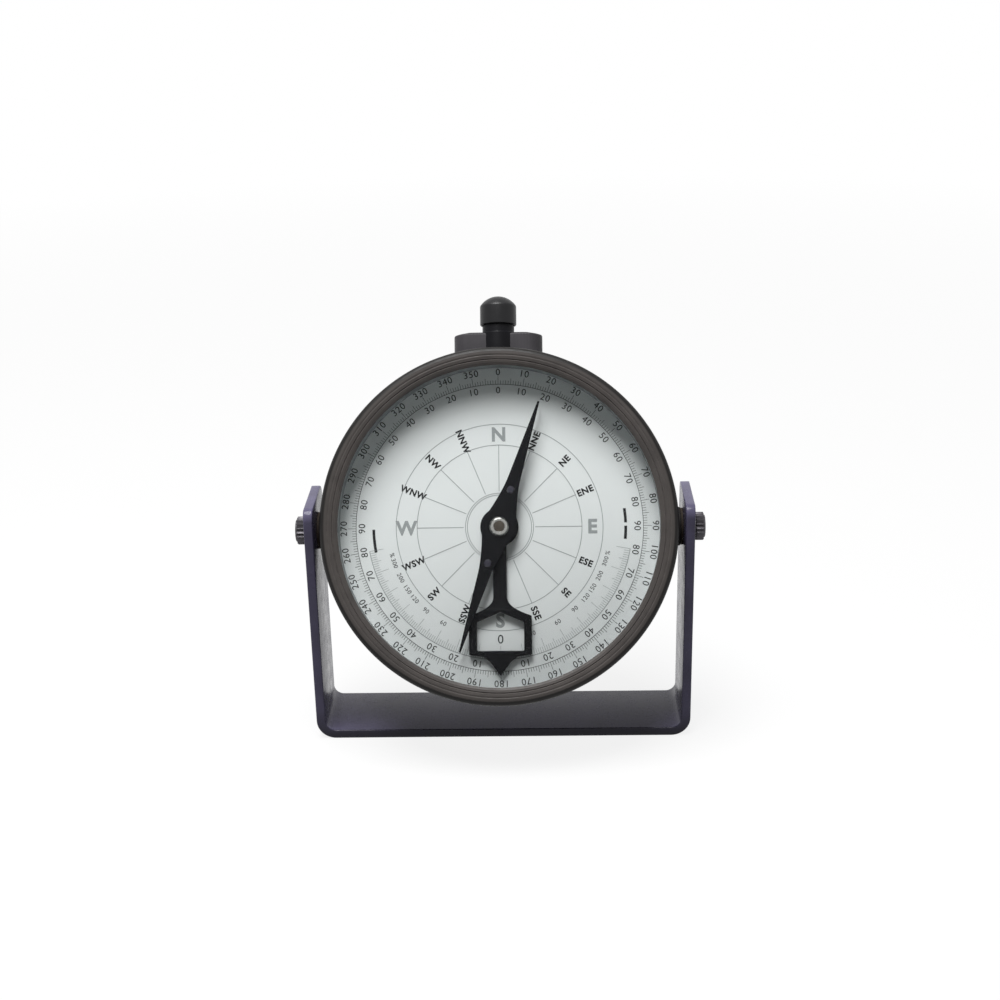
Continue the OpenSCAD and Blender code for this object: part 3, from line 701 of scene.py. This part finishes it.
def end_spots(corner, edge):
    """Distances from an arm's end, each with what its half width and half thickness lose there."""
    spots = [corner * (1 - math.cos(math.pi / 2 * k / 8)) for k in range(9)]
    spots += [edge * share for share in (0.13, 0.5)]
    result = []
    for d in sorted(set(spots)):
        side = corner - math.sqrt(max(0.0, corner**2 - (corner - d) ** 2))
        face = edge - math.sqrt(max(0.0, edge**2 - (edge - d) ** 2)) if d < edge else 0.0
        result.append((d, side + face, face))
    return result


class COMPASS_OT_stand(bpy.types.Operator):
    """Build the U-shaped stand, bent from one strip"""

    bl_idname = "compass.stand"
    bl_label = "Bent stand"

    def execute(self, context):
        sizes = settings().stand
        half_thick, edge = sizes.thickness / MM / 2, sizes.edge / MM
        half, top = STRIP[1].x, STRIP[1].z
        half_width = (STRIP[1].y - STRIP[0].y) / 2
        ends = end_spots(sizes.corner / MM, edge)
        out = half - half_thick
        left = [((-out, top - d, -1, 0), half_width - w, half_thick - t) for d, w, t in ends]
        right = [((-x, z, 1, 0), wide, thick) for (x, z, _, _), wide, thick in reversed(left)]
        path = strip_path(half, top, sizes.thickness / MM, sizes.bend / MM)
        # The path's own places begin a little below the rounded ends
        start = top - ends[-1][0] - 0.1
        middle = [(at, half_width, half_thick) for at in path if at[1] < start]
        shape = bmesh.new()
        add_loft(shape, [strip_loop(*section, edge) for section in left + middle + right])
        settle(piece("bent_stand", shape), slate_enamel(), "stand", "stand_enamel", "bracket")
        return {"FINISHED"}


class COMPASS_OT_case(bpy.types.Operator):
    """Build the turned case cup with its two pivot bosses"""

    bl_idname = "compass.case"
    bl_label = "Case cup"

    def execute(self, context):
        back, top, shelf = CASE[0].z, CASE[1].z, DIAL_PLATE[0].z
        recess, wall, thick_wall, bottom = 0.6, 1.2, 3, 2
        rim = BARREL - 6
        cup = [
            (0, back + recess, 0), (rim, back + recess, 0.15), (rim + recess, back, 0.2),
            (BARREL - 1, back, 0.4), (BARREL, back + 1, 0.4), (BARREL, top, 0.1),
            (BARREL - wall, top, 0.1), (BARREL - wall, shelf, 0), (BARREL - thick_wall, shelf, 0.1),
            (BARREL - thick_wall, back + bottom, 0.3), (0, back + bottom, 0),
        ]
        shape = bmesh.new()
        add_turned(shape, cup, 256)
        boss = rod(settings().case.boss / MM, BARREL - 0.6, CASE[1].x, last=0.25)
        for side in (-1, 1):
            add_turned(shape, boss, 64, Matrix.Rotation(side * math.pi / 2, 4, "Y"))
        settle(piece("case_cup", shape, DIAL), case_lacquer(), "case", "case_enamel", "case_body")
        return {"FINISHED"}


class COMPASS_OT_bezel(bpy.types.Operator):
    """Build the turned bezel ring over the glass"""

    bl_idname = "compass.bezel"
    bl_label = "Bezel ring"

    def execute(self, context):
        sizes = settings().case
        outer, front, back = BEZEL[1].x, BEZEL[1].z, BEZEL[0].z
        lip, edge = sizes.lip / MM, sizes.bezel_edge / MM
        # Its bore round the case and its ledge over the glass, each with a gap of 0.02 mm
        inner, ledge = BARREL + 0.02, GLASS[1].z + 0.02
        groove = (outer + lip) / 2
        # Two fine grooves part the face into three rings
        line = [
            (inner, back, 0.05), (outer - 0.3, back, 0.1), (outer, back + 0.3, 0.1), (outer, front, edge),
            (groove + 0.3, front, 0.06), (groove + 0.22, front - 0.08, 0.05),
            (groove + 0.06, front - 0.08, 0.05), (groove - 0.02, front - 0.02, 0.06),
            (groove - 0.66, front - 0.1, 0.06), (groove - 0.72, front - 0.28, 0.05),
            (groove - 0.88, front - 0.28, 0.05), (groove - 0.94, front - 0.16, 0.06),
            (lip + 0.5, front - 0.3, 0.2), (lip, front - 0.55, 0.15), (lip, ledge, 0.05), (inner, ledge, 0),
        ]
        turn_piece("turned_bezel", line, 288, bezel_lacquer(), "case", "bezel_enamel", "bezel_ring", steps=5)
        return {"FINISHED"}


class COMPASS_OT_glass(bpy.types.Operator):
    """Build the flat glass, and finish its seal"""

    bl_idname = "compass.glass"
    bl_label = "Glass"

    def execute(self, context):
        disc = rod(GLASS[1].x, GLASS[0].z, GLASS[1].z, 0.2, 0.2)
        turn_piece("flat_glass", disc, 192, clear_glass(), "case", "clear_glass", "glass", steps=2)
        dress(moulded_rubber(), "glass_seal")
        return {"FINISHED"}


# The dial's print: radii in millimetres, and degrees clockwise from the top
PRINT_RISE = 0.03
FINE_CIRCLES = (6.9, 7.3, 17.7, 22.2)
RAYS = (7.7, 17.7)
POINTS = "N NNE NE ENE E ESE SE SSE S SSW SW WSW W WNW NW NNW".split()
POINTS_AT = 20.0
QUADRANTS_AT = 29.6
BEARINGS_AT = 33.55
BEARING_CIRCLE = (30.8, 30.9)
SLOPE_CIRCLE = (28.3, 28.45)
SLOPES = (100, 260)
INDEX_BAND = (26.75, 27.35)
INDEX_BARS = ((82, 88.5), (90, 96), (259, 269.5))

# Where the ticks of both scales end: at the tens, the fives and the single degrees
BEARING_TICKS = (32.6, 32.2, 31.7)
SLOPE_TICKS = (25.4, 26.4, 27.1)

# The slopes in percent, with the radius and the height of their numbers and of the zero between them
GRADES = (30, 60, 90, 120, 150, 200, 300)
GRADES_AT, GRADE_HEIGHT = 23.8, 0.95
ZERO_AT, ZERO_HEIGHT = 24.0, 1.9
PERCENT_SIGN_AT = 76

# Height of the built-in letters' capitals, as a share of the text's size
CAPITALS = 0.7


def tick_end(angle, ends):
    """How far out a scale's tick ends at a whole degree."""
    tens, fives, ones = ends
    return tens if angle % 10 == 0 else fives if angle % 5 == 0 else ones


def around(angle, radius):
    """Where something stands on the dial: an angle clockwise from the top, its top pointing outward."""
    return Matrix.Rotation(-math.radians(angle), 4, "Z") @ Matrix.Translation((0, radius, 0))


def add_arc(shape, inner, outer, start=0.0, end=360.0):
    """Adds a flat band between two radii and two angles clockwise from the top."""
    steps = max(4, int(abs(end - start) / 1.5))
    rows = []
    for k in range(steps + 1):
        a = math.radians(start + (end - start) * k / steps)
        rows.append([shape.verts.new((r * math.sin(a), r * math.cos(a), 0)) for r in (inner, outer)])
    for before, after in zip(rows, rows[1:]):
        shape.faces.new((before[0], before[1], after[1], after[0]))


def add_bar(shape, angle, inner, outer, width):
    """Adds a flat radial bar."""
    place = around(angle, 0)
    corners = [(-width / 2, inner), (width / 2, inner), (width / 2, outer), (-width / 2, outer)]
    shape.faces.new([shape.verts.new(place @ Vector((x, y, 0))) for x, y in corners])


@cache
def lettering(words, height, weight=0.0):
    """A word in plain letters as a flat centred mesh, with capitals of that height in millimetres.

    weight thickens the strokes by a share of the height. It fills a 4's hole, so numbers go without.
    """
    text = bpy.data.curves.new("word", "FONT")
    text.body = words
    text.size = height / CAPITALS
    text.resolution_u = 3
    text.space_character = 1.1
    text.offset = weight * height
    mesh = shown_mesh(text)
    xs = [v.co.x for v in mesh.vertices]
    ys = [v.co.y for v in mesh.vertices]
    mesh.transform(Matrix.Translation((-(min(xs) + max(xs)) / 2, -(min(ys) + max(ys)) / 2, 0)))
    return mesh


def print_piece(name, shape, material):
    """Lays a flat printed shape on the dial."""
    bmesh.ops.translate(shape, verts=shape.verts, vec=(0, 0, DIAL_PLATE[1].z + PRINT_RISE))
    for face in shape.faces:
        face.normal_update()
        if face.normal.z < 0:
            face.normal_flip()
    settle(object_of(name, shape, DIAL), material, "case", "dial_enamel")


class COMPASS_OT_dial(bpy.types.Operator):
    """Print the dial: circles, rays, ticks, numbers and compass points"""

    bl_idname = "compass.dial"
    bl_label = "Dial"

    def execute(self, context):
        sizes, colours = settings().dial, settings().colours
        ink = printing_ink("black printing ink, screened", tuple(colours.ink))
        pale = printing_ink("grey printing ink, screened", tuple(colours.pale_ink))
        dress(dial_enamel(), "dial_plate")
        line, tick = sizes.line / MM, sizes.tick / MM
        upright = Matrix.Rotation(math.pi, 4, "Z")

        rings, rays, ticks, slopes, bars, numbers, grades, letters, mains = (bmesh.new() for _ in range(9))
        for radius in FINE_CIRCLES:
            add_arc(rings, radius - line / 2, radius + line / 2)
        for k in range(16):
            add_bar(rays, 22.5 * k, *RAYS, line)
        for angle in range(360):
            add_bar(ticks, angle, BEARING_CIRCLE[1], tick_end(angle, BEARING_TICKS), tick)
        add_arc(ticks, *BEARING_CIRCLE)
        for angle in range(SLOPES[0], SLOPES[1] + 1):
            add_bar(slopes, angle, tick_end(angle, SLOPE_TICKS), SLOPE_CIRCLE[0], tick)
        add_arc(slopes, *SLOPE_CIRCLE, *SLOPES)
        for start, end in INDEX_BARS:
            add_arc(bars, *INDEX_BAND, start, end)

        height = sizes.number_height / MM
        outer = BEARINGS_AT - 0.02 * height
        for angle in range(0, 360, 10):
            add_mesh(numbers, lettering(str(angle), height), around(angle, outer))
            quadrant = min(angle % 180, 180 - angle % 180)
            add_mesh(numbers, lettering(str(quadrant), height), around(angle, QUADRANTS_AT))

        add_mesh(grades, lettering("0", ZERO_HEIGHT), around(180, ZERO_AT) @ upright)
        words = [(str(percent), math.degrees(math.atan(percent / 100))) for percent in GRADES]
        for word, angle in words + [("%", PERCENT_SIGN_AT)]:
            for side in (-1, 1):
                place = around(180 + side * angle, GRADES_AT) @ upright
                add_mesh(grades, lettering(word, GRADE_HEIGHT), place)

        for k, name in enumerate(POINTS):
            angle = 22.5 * k
            # The main points stand upright, and the others read from left to right along their rays
            if len(name) == 1:
                shape, high, turn = mains, sizes.cardinal_height, math.radians(angle)
            else:
                shape, high, turn = letters, sizes.letter_height, math.copysign(math.pi / 2, 180 - angle)
            place = around(angle, POINTS_AT) @ Matrix.Rotation(turn, 4, "Z")
            add_mesh(shape, lettering(name, high / MM, weight=0.05), place)

        print_piece("fine_circles", rings, pale)
        print_piece("compass_rays", rays, pale)
        print_piece("bearing_ticks", ticks, ink)
        print_piece("slope_ticks", slopes, pale)
        print_piece("index_bars", bars, ink)
        print_piece("bearing_numbers", numbers, ink)
        print_piece("grade_numbers", grades, ink)
        print_piece("point_letters", letters, ink)
        print_piece("main_point_letters", mains, pale)
        return {"FINISHED"}


def needle_outline(reach_out, half_width, cuts=28):
    """The needle's outline: a broad middle whose hollow sides run out to slim arms with fine tips."""
    tip, taper, belly = 0.2, 0.066, 10.5
    swell = half_width - tip - taper * reach_out
    edge = []
    for k in range(-cuts, cuts + 1):
        y = reach_out * k / cuts
        broad = swell * max(0.0, 1 - abs(y) / belly) ** 1.6
        edge.append((tip + taper * (reach_out - abs(y)) + broad, y))
    return edge + [(-x, y) for x, y in reversed(edge)]


class COMPASS_OT_needle(bpy.types.Operator):
    """Build the magnetic needle with its cap and studs"""

    bl_idname = "compass.needle"
    bl_label = "Needle"

    def execute(self, context):
        sizes = settings().movement
        place = DIAL @ Matrix.Rotation(-sizes.heading, 4, "Z")
        low, high = NEEDLE[0].z, NEEDLE[1].z
        stud_at, stud_radius, eye = 8.2, 0.75, 1.52
        outline = needle_outline(sizes.needle_length / MM / 2, sizes.needle_width / MM / 2)
        holes = [circle(eye)] + [circle(stud_radius + 0.02, (0, side * stud_at)) for side in (-1, 1)]
        shape = bmesh.new()
        add_mesh(shape, plate_mesh([outline] + holes, low, high, bevel=0.07))
        blade = piece("needle_blade", shape, place)
        settle(blade, movement_lacquer(), "compass_needle", "needle_steel", "needle")

        shape = bmesh.new()
        for side in (-1, 1):
            stud = rod(stud_radius, low, high + 0.1, 0.05, 0.12)
            add_turned(shape, stud, 32, Matrix.Translation((0, side * stud_at, 0)))
        blued = turned_metal("steel, turned and blued", linear("#35343d"), 0.4, metallic=0.7)
        settle(piece("balance_studs", shape, place), blued, "compass_needle", "screw_steel", "needle_studs")

        bottom, top, radius, bore = CAP[0].z, CAP[1].z, CAP[1].x, 1.1
        well = top - 0.3
        line = [
            (bore, bottom, 0), (radius - 0.6, bottom, 0.05), (radius - 0.6, high + 0.02, 0),
            (radius, high + 0.02, 0.08), (radius, top - 0.42, 0.1), (radius - 0.35, top - 0.08, 0.25),
            (radius - 0.7, top, 0.1), (bore + 0.1, top, 0.05), (bore + 0.02, top - 0.15, 0.05),
            (bore, well, 0),
        ]
        nickel = turned_metal("nickel plate on turned brass", linear("#9c9b98"), 0.24, pitch=0.25)
        turn_piece("nickel_cap", line, 96, nickel, "compass_needle", "cap_nickel", "needle_cap", steps=5)

        line = [(0, well, 0), (bore + 0.02, well, 0), (bore + 0.02, top - 0.1, 0.05), (0, top - 0.04, 0)]
        # Painted reflection: the setting is coloured dark brown to stand for the dark band that the polished
        # cap mirrors
        brown = turned_metal("brass, turned and darkened_as_painted_reflection", linear("#4a443e"), 0.35, metallic=0.8)
        turn_piece("jewel_setting", line, 64, brown, "compass_needle", "needle_steel", "needle_cap")
        dress(ruby(), "needle_jewel")
        return {"FINISHED"}


def pendulum_outlines(tip, half, stalk, bar, bottom, top, disc):
    """The hanging frame's outline round its right, pointer and left, its disc's arc, and its window."""
    flare = 4.2
    side = [(stalk + (half - stalk) * (k / 14) ** 2.4, top + flare * (1 - k / 14), 0) for k in range(14)]
    side += [(half, top, 0.35), (half, bottom, 0.35), (3.6, bottom - 0.4, 0.8), (2.2, bottom - 1.5, 0.8)]
    mirrored = [(-x, y, r) for x, y, r in reversed(side)]
    outline = [tuple(p) for p in rounded(side + [(0, -tip, 0.12)] + mirrored)]
    gap = math.asin(stalk / disc)
    turns = [math.pi - gap + (2 * gap - 2 * math.pi) * k / 64 for k in range(65)]
    arc = [(disc * math.sin(a), disc * math.cos(a)) for a in turns]
    inner, sill, eaves = half - bar, bottom + bar / 2, top + 0.3 - bar
    corners = [(-inner, sill, 0.25), (inner, sill, 0.25), (inner, eaves, 0.3), (0, top + 0.8, 0.8)]
    return outline, arc, [tuple(p) for p in rounded(corners + [(-inner, eaves, 0.3)])]


class COMPASS_OT_pendulum(bpy.types.Operator):
    """Build the pendulum with its windowed frame and pointer, and finish the brass pieces behind it"""

    bl_idname = "compass.pendulum"
    bl_label = "Pendulum"

    def execute(self, context):
        sizes = settings().movement
        tip, half = -PENDULUM[0].y, sizes.frame_width / MM / 2
        stalk, bar = sizes.stalk / MM / 2, sizes.frame_bar / MM
        low, high = PENDULUM[0].z, PENDULUM[1].z
        pointer, frame_height, sheet = 4.5, 8.3, 0.7
        bottom = -tip + pointer
        top = bottom + frame_height
        outline, arc, window = pendulum_outlines(tip, half, stalk, bar, bottom, top, PENDULUM[1].y)
        shape = bmesh.new()
        # The outline runs down the right, round the pointer and up the left, and the disc's arc closes it
        sheet_lines = [outline + arc[::-1], window, circle(HUB[1].x + 0.02)]
        add_mesh(shape, plate_mesh(sheet_lines, low, low + sheet, bevel=0.08))
        block = [(x, y) for x, y in outline if y <= top + 1.6]
        add_mesh(shape, plate_mesh([block, window], low, high, bevel=0.14))
        made = piece("hanging_frame", shape, DIAL)
        settle(made, movement_lacquer(), "clinometer_pendulum", "pendulum_black", "pendulum")
        brass = turned_metal("brass, turned", linear("#b3924f"), 0.3)
        dress(brass, "pendulum_hub", "pendulum_bush", "lifter_sleeve", "lever_stand")
        return {"FINISHED"}


def stadium(half_length, half_width, count=64):
    """Points round a bar with round ends."""
    straight = half_length - half_width
    turns = [2 * math.pi * (k + 0.5) / count for k in range(count)]
    ends = [(half_width * math.cos(a), half_width * math.sin(a)) for a in turns]
    return [(x + math.copysign(straight, x), y) for x, y in ends]


def slotted_head(radius, slot):
    """The two halves of a screw's head, either side of its slot."""
    halves = []
    for part in (-1, 1):
        end = math.sqrt(radius**2 - slot**2)
        arc = [(x, y) for x, y in circle(radius, count=40) if y * part >= slot]
        arc.sort(key=lambda p: math.atan2(p[1] * part, p[0]))
        halves.append([(end, slot * part)] + arc + [(-end, slot * part)])
    return halves


class COMPASS_OT_saddle(bpy.types.Operator):
    """Build the saddle with the neck that guides the button"""

    bl_idname = "compass.saddle"
    bl_label = "Saddle"

    def execute(self, context):
        place = AXES["button"]
        sizes = settings().button
        half_length, half_width = SADDLE[1].x, sizes.saddle_depth / MM / 2
        boss, tip = (SADDLE[1].z - SADDLE[0].z) / 2, SADDLE[1].y
        fall, neck = sizes.saddle_fall / MM, sizes.neck / MM
        crest = BARREL + sizes.saddle_height / MM
        head, head_radius, shank_radius, shank_length = crest - fall, 1.5, 0.8, 7
        head_thick, counterbore, screw_at, edge = 0.35, 0.8, 6.4, 0.4
        rim = stadium(half_length, half_width)

        def top(x):
            share = max(0.0, min(1.0, (abs(x) - boss) / (half_length - 0.5 - boss)))
            return crest - fall * share

        def seat(x):
            return math.sqrt(BARREL**2 - x**2) + 0.03

        loops = [[Vector((x * s, y * s, top(x * s))) for x, y in rim] for s in (0.25, 0.5, 0.75, 0.9)]
        for k in range(5):
            a = math.pi / 2 * k / 4
            inset = edge * (1 - math.sin(a))
            drop = edge * (1 - math.cos(a))
            long, wide = 1 - inset / half_length, 1 - inset / half_width
            loops.append([Vector((x * long, y * wide, top(x) - drop)) for x, y in rim])
        loops += [[Vector((x * s, y * s, seat(x * s))) for x, y in rim] for s in (1, 0.75, 0.5, 0.25)]
        wings = bmesh.new()
        add_loft(wings, loops)

        bores, screws = bmesh.new(), bmesh.new()
        for side in (-1, 1):
            at = Matrix.Translation((side * screw_at, 0, 0))
            add_turned(bores, rod(head_radius + 0.04, head - counterbore, crest + 1), 48, at)
            for half in slotted_head(head_radius, slot=0.2):
                add_mesh(screws, plate_mesh([half], head - head_thick, head, bevel=0.08), at)
            add_turned(screws, rod(head_radius, head - counterbore, head - head_thick + 0.01), 40, at)
            add_turned(screws, rod(shank_radius, head - shank_length, head - counterbore + 0.1), 24, at)
        made = piece("curved_saddle", cut(wings, bores), place)
        settle(made, saddle_lacquer(), "case", "case_enamel", "arrest_bush")

        bore, mouth = 1.55, 2.35
        line = [
            (bore, BARREL - 0.6, 0), (boss, BARREL - 0.6, 0), (boss, crest, 0.25), (neck, crest, 0.1),
            (neck, tip, 0.3), (mouth, tip, 0.1), (mouth, crest + 0.5, 0), (bore, crest + 0.5, 0),
        ]
        # The neck's black lacquer is partly painted shade: it also stands for the cap's shadow falling on the
        # neck
        lacquer = movement_lacquer()
        turn_piece("button_neck", line, 96, lacquer, "case", "case_enamel", "arrest_bush", place=place)

        steel = turned_metal("screw steel, blackened", linear("#4a484c"), 0.42, metallic=0.8, axis="button")
        settle(piece("saddle_screws", screws, place), steel, "case", "screw_steel", "arrest_bush_screws")
        return {"FINISHED"}


class COMPASS_OT_button(bpy.types.Operator):
    """Build the domed arrest button"""

    bl_idname = "compass.button"
    bl_label = "Arrest button"

    def execute(self, context):
        sizes = settings().button
        top, radius, crown = BUTTON[1].y - 0.02, BUTTON[1].x, sizes.crown / MM
        bore, low = radius - sizes.cap_wall / MM, top - sizes.cap_height / MM
        stem, end, ceiling = 1.5, low - 18, low + 3.1
        dome = (radius**2 + crown**2) / (2 * crown)
        turns = [math.asin(radius / dome) * (1 - k / 16) for k in range(1, 16)]
        curve = [(dome * math.sin(a), top - dome + dome * math.cos(a), 0) for a in turns]
        line = [
            (0, end, 0), (stem, end, 0.1), (stem, ceiling, 0), (bore, ceiling, 0.1), (bore, low, 0.05),
            (radius, low, 0.3), (radius, top - crown, 0.8), *curve, (0, top, 0),
        ]
        given = (button_resin(), "button", "button_black", "arrest_button")
        turn_piece("domed_button", line, 128, *given, place=AXES["button"], steps=6)
        return {"FINISHED"}


def coil(radius, wire, turns, low, high, per_turn=24):
    """Sections along a wire of a thickness that winds round Z, from one height to another."""
    stations = turns * per_turn
    loops = []
    for k in range(stations + 1):
        rise = low + wire / 2 + (high - low - wire) * k / stations
        turn = Matrix.Rotation(2 * math.pi * k / per_turn, 4, "Z")
        loops.append([turn @ Vector((radius + x, 0, rise + z)) for x, z in circle(wire / 2, count=10)])
    return loops


class COMPASS_OT_spring(bpy.types.Operator):
    """Build the return spring, which the pressed button squeezes"""

    bl_idname = "compass.spring"
    bl_label = "Return spring"

    def execute(self, context):
        place = AXES["button"]
        sizes = settings().button
        low, high, wire = SPRING[0].z, SPRING[1].z, sizes.wire / MM
        shape = bmesh.new()
        add_loft(shape, coil(SPRING[1].x - wire / 2, wire, sizes.turns, low, high))
        made = piece("return_spring", shape, place)
        steel = turned_metal("spring steel wire, drawn", linear("#8f8f94"), 0.32)
        settle(made, steel, "case", "bright_steel", "button_spring")
        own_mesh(made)
        return {"FINISHED"}


def fluted_outline(radius, depth, flutes, per_flute=8):
    """A wave round a circle."""
    count = flutes * per_flute
    points = []
    for k in range(count):
        r = radius - depth + depth * math.cos(2 * math.pi * k / per_flute)
        points.append((r * math.cos(2 * math.pi * k / count), r * math.sin(2 * math.pi * k / count)))
    return points


class COMPASS_OT_clamp_screws(bpy.types.Operator):
    """Build the two clamp screws with their fluted heads, and finish their washers"""

    bl_idname = "compass.clamp_screws"
    bl_label = "Clamp screws"

    def execute(self, context):
        name = "steel, turned and blackened"
        steel = turned_metal(name, linear("#4a484c"), 0.36, metallic=0.8, axis="right clamp")
        radius, outer = SCREW[1].y, SCREW[1].x
        # The shank's inner end, from the middle of the case, and the collar under the fluted head
        shank_end, collar_radius, under = 34, radius - 0.6, outer - 2.4
        collar = [
            (0, under, 0), (collar_radius, under, 0.1), (collar_radius, outer, 0.2), (1.6, outer, 0.2),
            (1.3, outer - 0.18, 0.1), (0, outer - 0.18, 0),
        ]
        head = fluted_outline(radius, depth=0.22, flutes=settings().case.flutes)
        for side in ("left", "right"):
            shape = bmesh.new()
            add_mesh(shape, plate_mesh([head], outer - 2.1, outer - 0.3, bevel=0.15))
            add_turned(shape, collar, 72)
            add_turned(shape, rod(1.5, shank_end, under + 0.1, 0.2), 48)
            made = piece(f"{side}_fluted_screw", shape, AXES[f"{side} clamp"])
            settle(made, steel, f"{side}_clamp", "screw_steel", f"{side}_clamp_screw")
        dress(steel, "left_outer_washer", "right_outer_washer")
        dress(pressed_fibre(), "left_friction_washer", "right_friction_washer")
        return {"FINISHED"}


class COMPASS_OT_inner_works(bpy.types.Operator):
    """Finish the pieces inside the case that keep their packed shapes"""

    bl_idname = "compass.inner_works"
    bl_label = "Inner works"

    def execute(self, context):
        steel = turned_metal("steel, turned bright", linear("#b4b4b8"), 0.3)
        dress(steel, "pivot_post", "bush_clip", "lever_axle", "lever_drive_pin")
        dress(steel, "lever_stand_screws", "lifter_lever")
        dress(ring_paint(), "dial_ring")
        return {"FINISHED"}


# Stage


def seen_share(tree):
    """1 for what the camera sees straight, in a gloss or through glass, and 0 for light on the object."""
    share = node(tree, "LightPath", out="Is Camera Ray")
    for ray in ("Is Glossy Ray", "Is Transmission Ray"):
        share = node(tree, "Math", share, node(tree, "LightPath", out=ray), operation="MAXIMUM")
    return share


def floor_material():
    """Pale matt paper: it shows nearly white, and keeps the object's shadow."""
    material, tree = finish("matt paper, uncoated", linear("#f0f0f0"), 0.9, specular=0.0)
    seen = seen_share(tree)
    paper = node(tree, "Mix", grain(tree, 30.0), linear("#eeeeee"), linear("#f2f2f2"), data_type="RGBA")
    feed(tree, node(tree, "Mix", seen, linear("#606060"), paper, data_type="RGBA"))
    # The paper turns fully white away from the object
    near, far, least = 0.12, 0.7, 0.86
    away = node(tree, "VectorMath", node(tree, "TexCoord", out="Object"), operation="LENGTH")
    white = node(tree, "MapRange", away, near, far, least, 1.0)
    share = node(tree, "Math", seen, white, operation="MULTIPLY")
    glow = node(tree, "Emission", Strength=1.0)
    mixed = node(tree, "MixShader", share, tree.nodes["Principled BSDF"].outputs["BSDF"], glow)
    tree.links.new(mixed, tree.nodes["Material Output"].inputs["Surface"])
    return material


class COMPASS_OT_stage(bpy.types.Operator):
    """Build the floor, the light and the camera"""

    bl_idname = "compass.stage"
    bl_label = "Stage"

    def execute(self, context):
        scene = context.scene
        shape = bmesh.new()
        edge, heights = 4000, (-20, -0.02)
        corners = ((-edge, -edge), (edge, -edge), (edge, edge), (-edge, edge))
        add_loft(shape, [[Vector((x, y, z)) for x, y in corners] for z in heights])
        floor = piece("paper_floor", shape)
        floor.data.materials.append(floor_material())

        world = bpy.data.worlds.new("pale studio")
        world.use_nodes = True
        scene.world = world
        tree = world.node_tree
        background = tree.nodes["Background"].inputs
        background["Color"].default_value = (1, 1, 1, 1)
        dim, full = 0.14, 1.0
        strength = node(tree, "MapRange", seen_share(tree), 0, 1, dim, full)
        tree.links.new(strength, background["Strength"])

        # One soft lamp, high up and to the left of the front
        data = bpy.data.lights.new("key_lamp", "AREA")
        data.shape = "SQUARE"
        data.size = 0.33
        data.energy = 5.35
        side, height, distance = math.radians(42.9), math.radians(77.6), 0.6
        flat = math.cos(height)
        away = Vector((-math.sin(side) * flat, -math.cos(side) * flat, math.sin(height)))
        lamp = bpy.data.objects.new("key_lamp", data)
        scene.collection.objects.link(lamp)
        lamp.location = PIVOT + away * distance
        lamp.rotation_euler = (-away).to_track_quat("-Z", "Y").to_euler()

        elevation, azimuth, roll, distance = math.radians(22), math.radians(-1.5), math.radians(-1.23), 0.3605
        flat = math.cos(elevation)
        ahead = Vector((math.sin(azimuth) * flat, math.cos(azimuth) * flat, -math.sin(elevation)))
        right = ahead.cross(Vector((0, 0, 1))).normalized()
        up = right.cross(ahead)
        rolled_right = math.cos(roll) * right + math.sin(roll) * up
        rolled_up = math.cos(roll) * up - math.sin(roll) * right
        turned = Matrix((rolled_right, rolled_up, -ahead)).transposed().to_4x4()
        # The photo's focal length, in widths of the picture
        focal_length = 1.659
        data = bpy.data.cameras.new("camera")
        data.sensor_width = 36
        data.lens = focal_length * data.sensor_width
        data.shift_y = 0.0282
        data.clip_start = 0.01
        data.dof.use_dof = False
        camera = bpy.data.objects.new("camera", data)
        scene.collection.objects.link(camera)
        camera.matrix_world = Matrix.Translation(PIVOT - ahead * distance) @ turned
        scene.camera = camera
        scene.view_settings.view_transform = "Standard"
        return {"FINISHED"}


def group(kind, name):
    """A property group as a property of its own, described by its docstring."""
    return PointerProperty(type=kind, name=name, description=kind.__doc__.rstrip("."))


class CompassSettings(bpy.types.PropertyGroup):
    """All the sizes and colours of the compass."""

    stand: group(StandSizes, "Stand")
    case: group(CaseSizes, "Case")
    button: group(ButtonSizes, "Button")
    dial: group(DialSizes, "Dial")
    movement: group(MovementSizes, "Movement")
    colours: group(Colours, "Colours")


OPERATORS = (
    COMPASS_OT_stand,
    COMPASS_OT_case,
    COMPASS_OT_bezel,
    COMPASS_OT_glass,
    COMPASS_OT_dial,
    COMPASS_OT_needle,
    COMPASS_OT_pendulum,
    COMPASS_OT_saddle,
    COMPASS_OT_button,
    COMPASS_OT_spring,
    COMPASS_OT_clamp_screws,
    COMPASS_OT_inner_works,
    COMPASS_OT_stage,
)


class COMPASS_PT_panel(bpy.types.Panel):
    """Lists the compass's pieces, sizes and colours."""

    bl_idname = "COMPASS_PT_panel"
    bl_label = "Clinometer compass"
    bl_space_type = "VIEW_3D"
    bl_region_type = "UI"
    bl_category = "Compass"

    def draw(self, context):
        layout = self.layout
        for operator in OPERATORS:
            layout.operator(operator.bl_idname)
        for part in CompassSettings.__annotations__:
            held = getattr(settings(), part)
            box = layout.box()
            for name in held.__annotations__:
                box.prop(held, name)


GROUPS = (StandSizes, CaseSizes, ButtonSizes, DialSizes, MovementSizes, Colours, CompassSettings)
CLASSES = (*GROUPS, *OPERATORS, COMPASS_PT_panel)


def register():
    for cls in CLASSES:
        bpy.utils.register_class(cls)
    bpy.types.Scene.compass = PointerProperty(type=CompassSettings)


def unregister():
    del bpy.types.Scene.compass
    for cls in reversed(CLASSES):
        bpy.utils.unregister_class(cls)


def main():
    """Builds every piece and the stage."""
    register()
    for operator in OPERATORS:
        module, name = operator.bl_idname.split(".")
        getattr(getattr(bpy.ops, module), name)()


if __name__ == "__main__":
    main()
